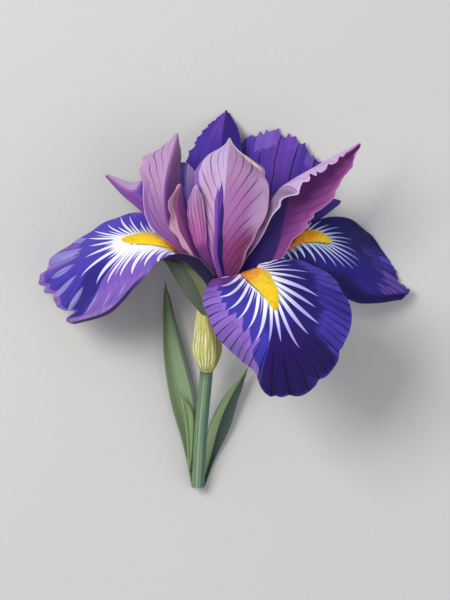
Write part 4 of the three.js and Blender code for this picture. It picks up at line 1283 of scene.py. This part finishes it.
stem_skin = tissue(
    "stem_skin", [(0.25, (112, 140, 108)), (0.75, (134, 160, 122))],
    # A pale stripe is a painted highlight, and the darker teal side is painted shade.
    [((160, 184, 140), lambda p: p.side.within(-0.62, -0.5, 0.04) * 0.75),
     ((72, 106, 106), lambda p: p.side.over(-0.44, -0.34) * 0.85),
     ((80, 110, 98), lambda p: p.up.over(0.92, 1.0) * 0.6)],
    12, (96, 126, 106))
rolled("cut_stem", "stem", stalk_part(0, 22, 90),
       lambda t, angle: STEM_RADIUS + 0.08 * np.cos(6 * angle), 48, stem_skin)

# %% [markdown]
# The sheath under the flower is a papery bud scale, pleated lengthwise. It has two dark
# stripes to a pleat, so both come from the same count.

# %% Sheath and tube
PLEATS = 12
SHEATH_RADII = 6.3 * np.array([0.45, 0.8, 1, 0.97, 0.86, 0.75, 0.68])
TUBE_RADII = [3.4, 3.4, 3.74, 4.59, 6.8]


def sheath_radius(t, angle):
    """The sheath's swelling with its pleats, which are closer on two sides."""
    return on_line(SHEATH_RADII, t) * (1 + 0.03 * np.cos(PLEATS * angle + 1.5 * np.sin(2 * angle)))


sheath_skin = tissue(
    "sheath_skin", [(0.28, (186, 180, 88)), (0.45, (220, 214, 122)), (0.62, (252, 248, 196))],
    # Painted shade: olive on one side and at the foot of the sheath.
    [((122, 122, 64), lambda p: (p.side + 0.3 * p.up).over(-0.3, -0.14) * 0.8),
     ((160, 168, 96), lambda p: p.up.under(0.04, 0.16) * 0.6)],
    2 * PLEATS, (104, 98, 40), relief=0.00025, broken=0.4)
tube_skin = tissue(
    "tube_skin", [(0.3, (120, 128, 84)), (0.8, (150, 150, 110))],
    [((96, 60, 120), lambda p: p.up.over(0.3, 0.9) * 0.85)], 12, (80, 60, 100))
rolled("pleated_sheath", "spathe", stalk_part(22.15, 31.3, 90), sheath_radius, 144,
       sheath_skin)
rolled("flower_tube", "floral_tube", stalk_part(31.65, 60, 40),
       lambda t, angle: on_line(TUBE_RADII, t), 48, tube_skin)

# %% Stamens
STAMENS = {
    "stamen_left": [(-2.4, 10.2, 34.8), (-5, 22, 33), (-6.5, 36, 33.5)],
    "stamen_centre": [(1.2, 9.9, 35.6), (2, 22, 37.5), (3, 38, 39)],
    "stamen_right": [(2.8, 10.1, 34.6), (7.5, 21, 34), (13, 34, 34.5)],
}
STAMEN_RADII = [0.6, 0.6, 0.6, 1.3, 1.3, 1.3, 0.65]
anther_skin = tissue(
    "anther_skin", [(0.3, (214, 200, 160)), (0.8, (240, 230, 196))],
    [((206, 188, 214), lambda p: p.up.under(0.42, 0.5) * 0.9)], 4, (168, 142, 96))


def stamen_radius(t, angle):
    """A thin filament, and then two lobes with a groove between them."""
    groove = np.where(t > 0.5, 1 - 0.18 * np.abs(np.cos(angle)), 1)
    return on_line(STAMEN_RADII, t) * groove


for node, line in STAMENS.items():
    rolled(node + "_body", node, smooth_line(line, 50), stamen_radius, 24, anther_skin)

# %% [markdown]
# ## Beards
#
# A beard is a caterpillar of stiff hairs that leads insects inward. Particle hair would not
# be kept as a mesh, so there are two layers: a low padded body on the petal, and on it many
# thin tapered hairs in one mesh. Each hair has only a few faces, because there are over a
# thousand.
# A beard's outline is two lines on its petal's net, given by u and v.

# %% Body of a beard
YELLOW = (255, 226, 30)
AMBER = (255, 190, 18)
ORANGE = (248, 146, 14)
BEARD_SEAT = 0.35
BEARD_CROWN = 1.5
BEARD_WALL = 0.6
BEARD_CREASE = 60
BEARDS = {
    "front": {
        "upper": [[0.05, 0.5], [0.2, 0.84], [0.24, 0.6], [0.29, 0.34], [0.35, 0.19], [0.42, 0.04]],
        "lower": [[0.05, 0.44], [0.11, 0.2], [0.17, 0.06], [0.25, -0.01], [0.33, -0.02],
                  [0.42, 0]],
        "stops": [(0, ORANGE), (0.25, AMBER), (0.5, YELLOW), (1, (255, 222, 24))],
    },
    "left": {
        "upper": [[0.3, 0.3], [0.34, 0.36], [0.39, 0.35], [0.47, 0.27], [0.53, 0.22],
                  [0.585, 0.17]],
        "lower": [[0.3, 0.14], [0.34, 0.01], [0.39, -0.07], [0.47, -0.07], [0.54, -0.01],
                  [0.585, 0.12]],
        "stops": [(0, ORANGE), (0.25, AMBER), (0.5, YELLOW), (0.9, YELLOW),
                  (1, (255, 240, 150))],
    },
    "right": {
        "upper": [[0.3, -0.1], [0.34, 0.1], [0.385, 0.52], [0.44, 0.56], [0.5, 0.38],
                  [0.55, 0.19]],
        "lower": [[0.3, -0.18], [0.34, -0.06], [0.385, 0], [0.44, 0.03], [0.5, 0.09],
                  [0.55, 0.14]],
        "stops": [(0, ORANGE), (0.5, AMBER), (0.85, YELLOW), (1, YELLOW)],
    },
}


def beard_surface(hand, t, share, seat):
    """Points on a beard, and its normals. `share` runs from the lower to the upper edge."""
    lower, upper = on_line(BEARDS[hand]["lower"], t), on_line(BEARDS[hand]["upper"], t)
    place = lower + (upper - lower) * share[:, None]
    fall = "fall_" + hand
    surface = lambda u, v: blade_points(NETS[fall], u, v, **MARGINS.get(fall, {}))
    normal = facing(surface, place[:, 0], place[:, 1]) * turn_up(NETS[fall])
    crown = 4 * share * (1 - share) * np.sin(np.pi * (0.1 + 0.85 * t))
    rise = seat + BEARD_CROWN * crown
    return surface(place[:, 0], place[:, 1]) + normal * rise[:, None], normal


def beard_paint(name, stops):
    """Yellow to orange, with orange streaks near the throat."""
    paint = petal_paint(name)
    streak = paint.streaks(paint.side * 9, paint.up * 1.5)
    paint.ramp(stops, paint.up + 0.3 * (streak - 0.5))
    paint.cover(ORANGE, streak.over(0.52, 0.66) * paint.up.under(0.5, 0.95) * 0.75)
    paint.raise_by(streak)
    return paint.finish(0.6 + 0.2 * streak, 0.0002, 0.3)


def beard_body(hand, skin):
    """The padded body: a sheet over the beard's outline, a little thicker than a petal."""
    node = "beard_" + hand
    piece, across, along = sheet(node + "_pad", 16, 60)
    points, _ = beard_surface(hand, (along + 1) / 2, (across + 1) / 2, BEARD_SEAT)
    move_to(piece, points)
    thicken(piece, NETS["fall_" + hand], [skin], BEARD_WALL, BEARD_CREASE)
    keep(piece, node)


# %% [markdown]
# The hairs are three-sided cones with a bend in the middle. They lean away from the throat,
# and outward from the beard's middle line, with a little chance in everything. The chance is
# seeded, so that the flower is the same each time.

# %% Hairs of a beard
HAIR_RADIUS = 0.1
HAIR_SIDES = 3
HAIR_CORNERS = 2 * HAIR_SIDES + 1
HAIR_LENGTH = 1.7
HAIRS = 1200
HAIR_SEAT = 0.3
FIRST_SEED = 20


def hair_points(roots, lean, normal, length):
    """Corners of all hairs: two rings and a tip for each."""
    middle = roots + (0.75 * normal + 0.35 * lean) * (0.5 * length)[:, None]
    tip = roots + (0.75 * normal + 0.9 * lean) * length[:, None]
    side = unit(np.cross(normal, lean))
    third = np.cross(normal, side)
    corners = []
    for centre, radius in ((roots, HAIR_RADIUS), (middle, 0.8 * HAIR_RADIUS)):
        for k in range(HAIR_SIDES):
            angle = 2 * np.pi * k / HAIR_SIDES
            corners.append(centre + radius * (np.cos(angle) * side + np.sin(angle) * third))
    corners.append(tip)
    return np.stack(corners, axis=1)


def hair_faces(count):
    """Faces of all hairs, pointing outwards, with a lid at the root."""
    one = []
    for k in range(HAIR_SIDES):
        after = (k + 1) % HAIR_SIDES
        one += [(k, after, after + HAIR_SIDES), (k, after + HAIR_SIDES, k + HAIR_SIDES)]
        one.append((k + HAIR_SIDES, after + HAIR_SIDES, 2 * HAIR_SIDES))
    one.append((2, 1, 0))
    first = HAIR_CORNERS * np.arange(count)
    return (np.array(one)[None] + first[:, None, None]).reshape(-1, 3)


def beard_hairs(hand, skin, seed):
    """All hairs of one beard in one mesh, scattered over its body."""
    chance = np.random.default_rng(seed)
    t = chance.uniform(0.01, 0.99, HAIRS)
    share = chance.uniform(0.02, 0.98, HAIRS)
    roots, normal = beard_surface(hand, t, share, HAIR_SEAT)
    ahead, _ = beard_surface(hand, np.minimum(t + 0.05, 1.05), share, HAIR_SEAT)
    outer, _ = beard_surface(hand, t, share + 0.1, HAIR_SEAT)
    spread = 1.6 * (share - 0.5) + chance.normal(0, 0.2, HAIRS)
    lean = unit(0.7 * unit(ahead - roots) + spread[:, None] * unit(outer - roots))
    points = hair_points(roots, lean, normal, HAIR_LENGTH * chance.uniform(0.65, 1.1, HAIRS))
    name = "beard_%s_hairs" % hand
    mesh = bpy.data.meshes.new(name)
    mesh.from_pydata((points * MM).reshape(-1, 3).tolist(), [], hair_faces(HAIRS).tolist())
    add_map(mesh, "petal", np.repeat(share, HAIR_CORNERS), np.repeat(t, HAIR_CORNERS))
    mesh.materials.append(skin)
    hairs = bpy.data.objects.new(name, mesh)
    bpy.context.collection.objects.link(hairs)
    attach(hairs, "root")


# %% Three beards
for seed, (hand, beard) in enumerate(BEARDS.items(), FIRST_SEED):
    skin = beard_paint("beard_%s_skin" % hand, beard["stops"])
    beard_body(hand, skin)
    beard_hairs(hand, skin, seed)

# %% [markdown]
# ## Floor, light and camera
#
# The flower lies on a plain pale floor. The camera looks straight down on it with a long
# lens, so that nothing is drawn out towards the edges. The light is a soft lamp from the
# upper left, a weaker and broader one from the other side, and a pale surrounding.

# %% Floor
bpy.ops.object.select_all(action="DESELECT")
bpy.ops.mesh.primitive_plane_add(size=6)
floor = bpy.context.object
floor.name = "pale_floor"
floor_paint = Paint("floor_paint", (214, 212, 208))
floor_grain = floor_paint.noise(floor_paint.object_place(), 8.0)
floor_paint.cover((206, 205, 202), floor_grain * 0.5)
floor_paint.raise_by(floor_paint.noise(floor_paint.object_place(), 300.0))
floor.data.materials.append(floor_paint.finish(0.8, 0.0002))


# %% Lamps
LIT_POINT = Vector((0, 0, 0.03))


def lamp(name, place, size, power):
    """A square soft lamp, turned to the flower."""
    data = bpy.data.lights.new(name, "AREA")
    data.size = size
    data.energy = power
    piece = bpy.data.objects.new(name, data)
    bpy.context.collection.objects.link(piece)
    piece.location = place
    piece.rotation_euler = (Vector(place) - LIT_POINT).to_track_quat("Z", "Y").to_euler()


lamp("key_lamp", (-0.55, 0.35, 0.95), 0.5, 8.4)
lamp("fill_lamp", (0.8, -0.3, 0.8), 0.8, 3.0)
world = bpy.data.worlds.new("pale_surrounding")
world.use_nodes = True
surrounding = world.node_tree.nodes["Background"].inputs
surrounding["Color"].default_value = (0.9, 0.92, 1, 1)
surrounding["Strength"].default_value = 0.42
bpy.context.scene.world = world
bpy.context.scene.view_settings.view_transform = "Standard"

# %% Camera
camera_data = bpy.data.cameras.new("camera")
camera_data.type = "PERSP"
camera_data.lens = 300
camera_data.sensor_width = 36
camera = bpy.data.objects.new("camera", camera_data)
camera.location = (0, -0.00066, 2.23)
bpy.context.collection.objects.link(camera)
bpy.context.scene.camera = camera
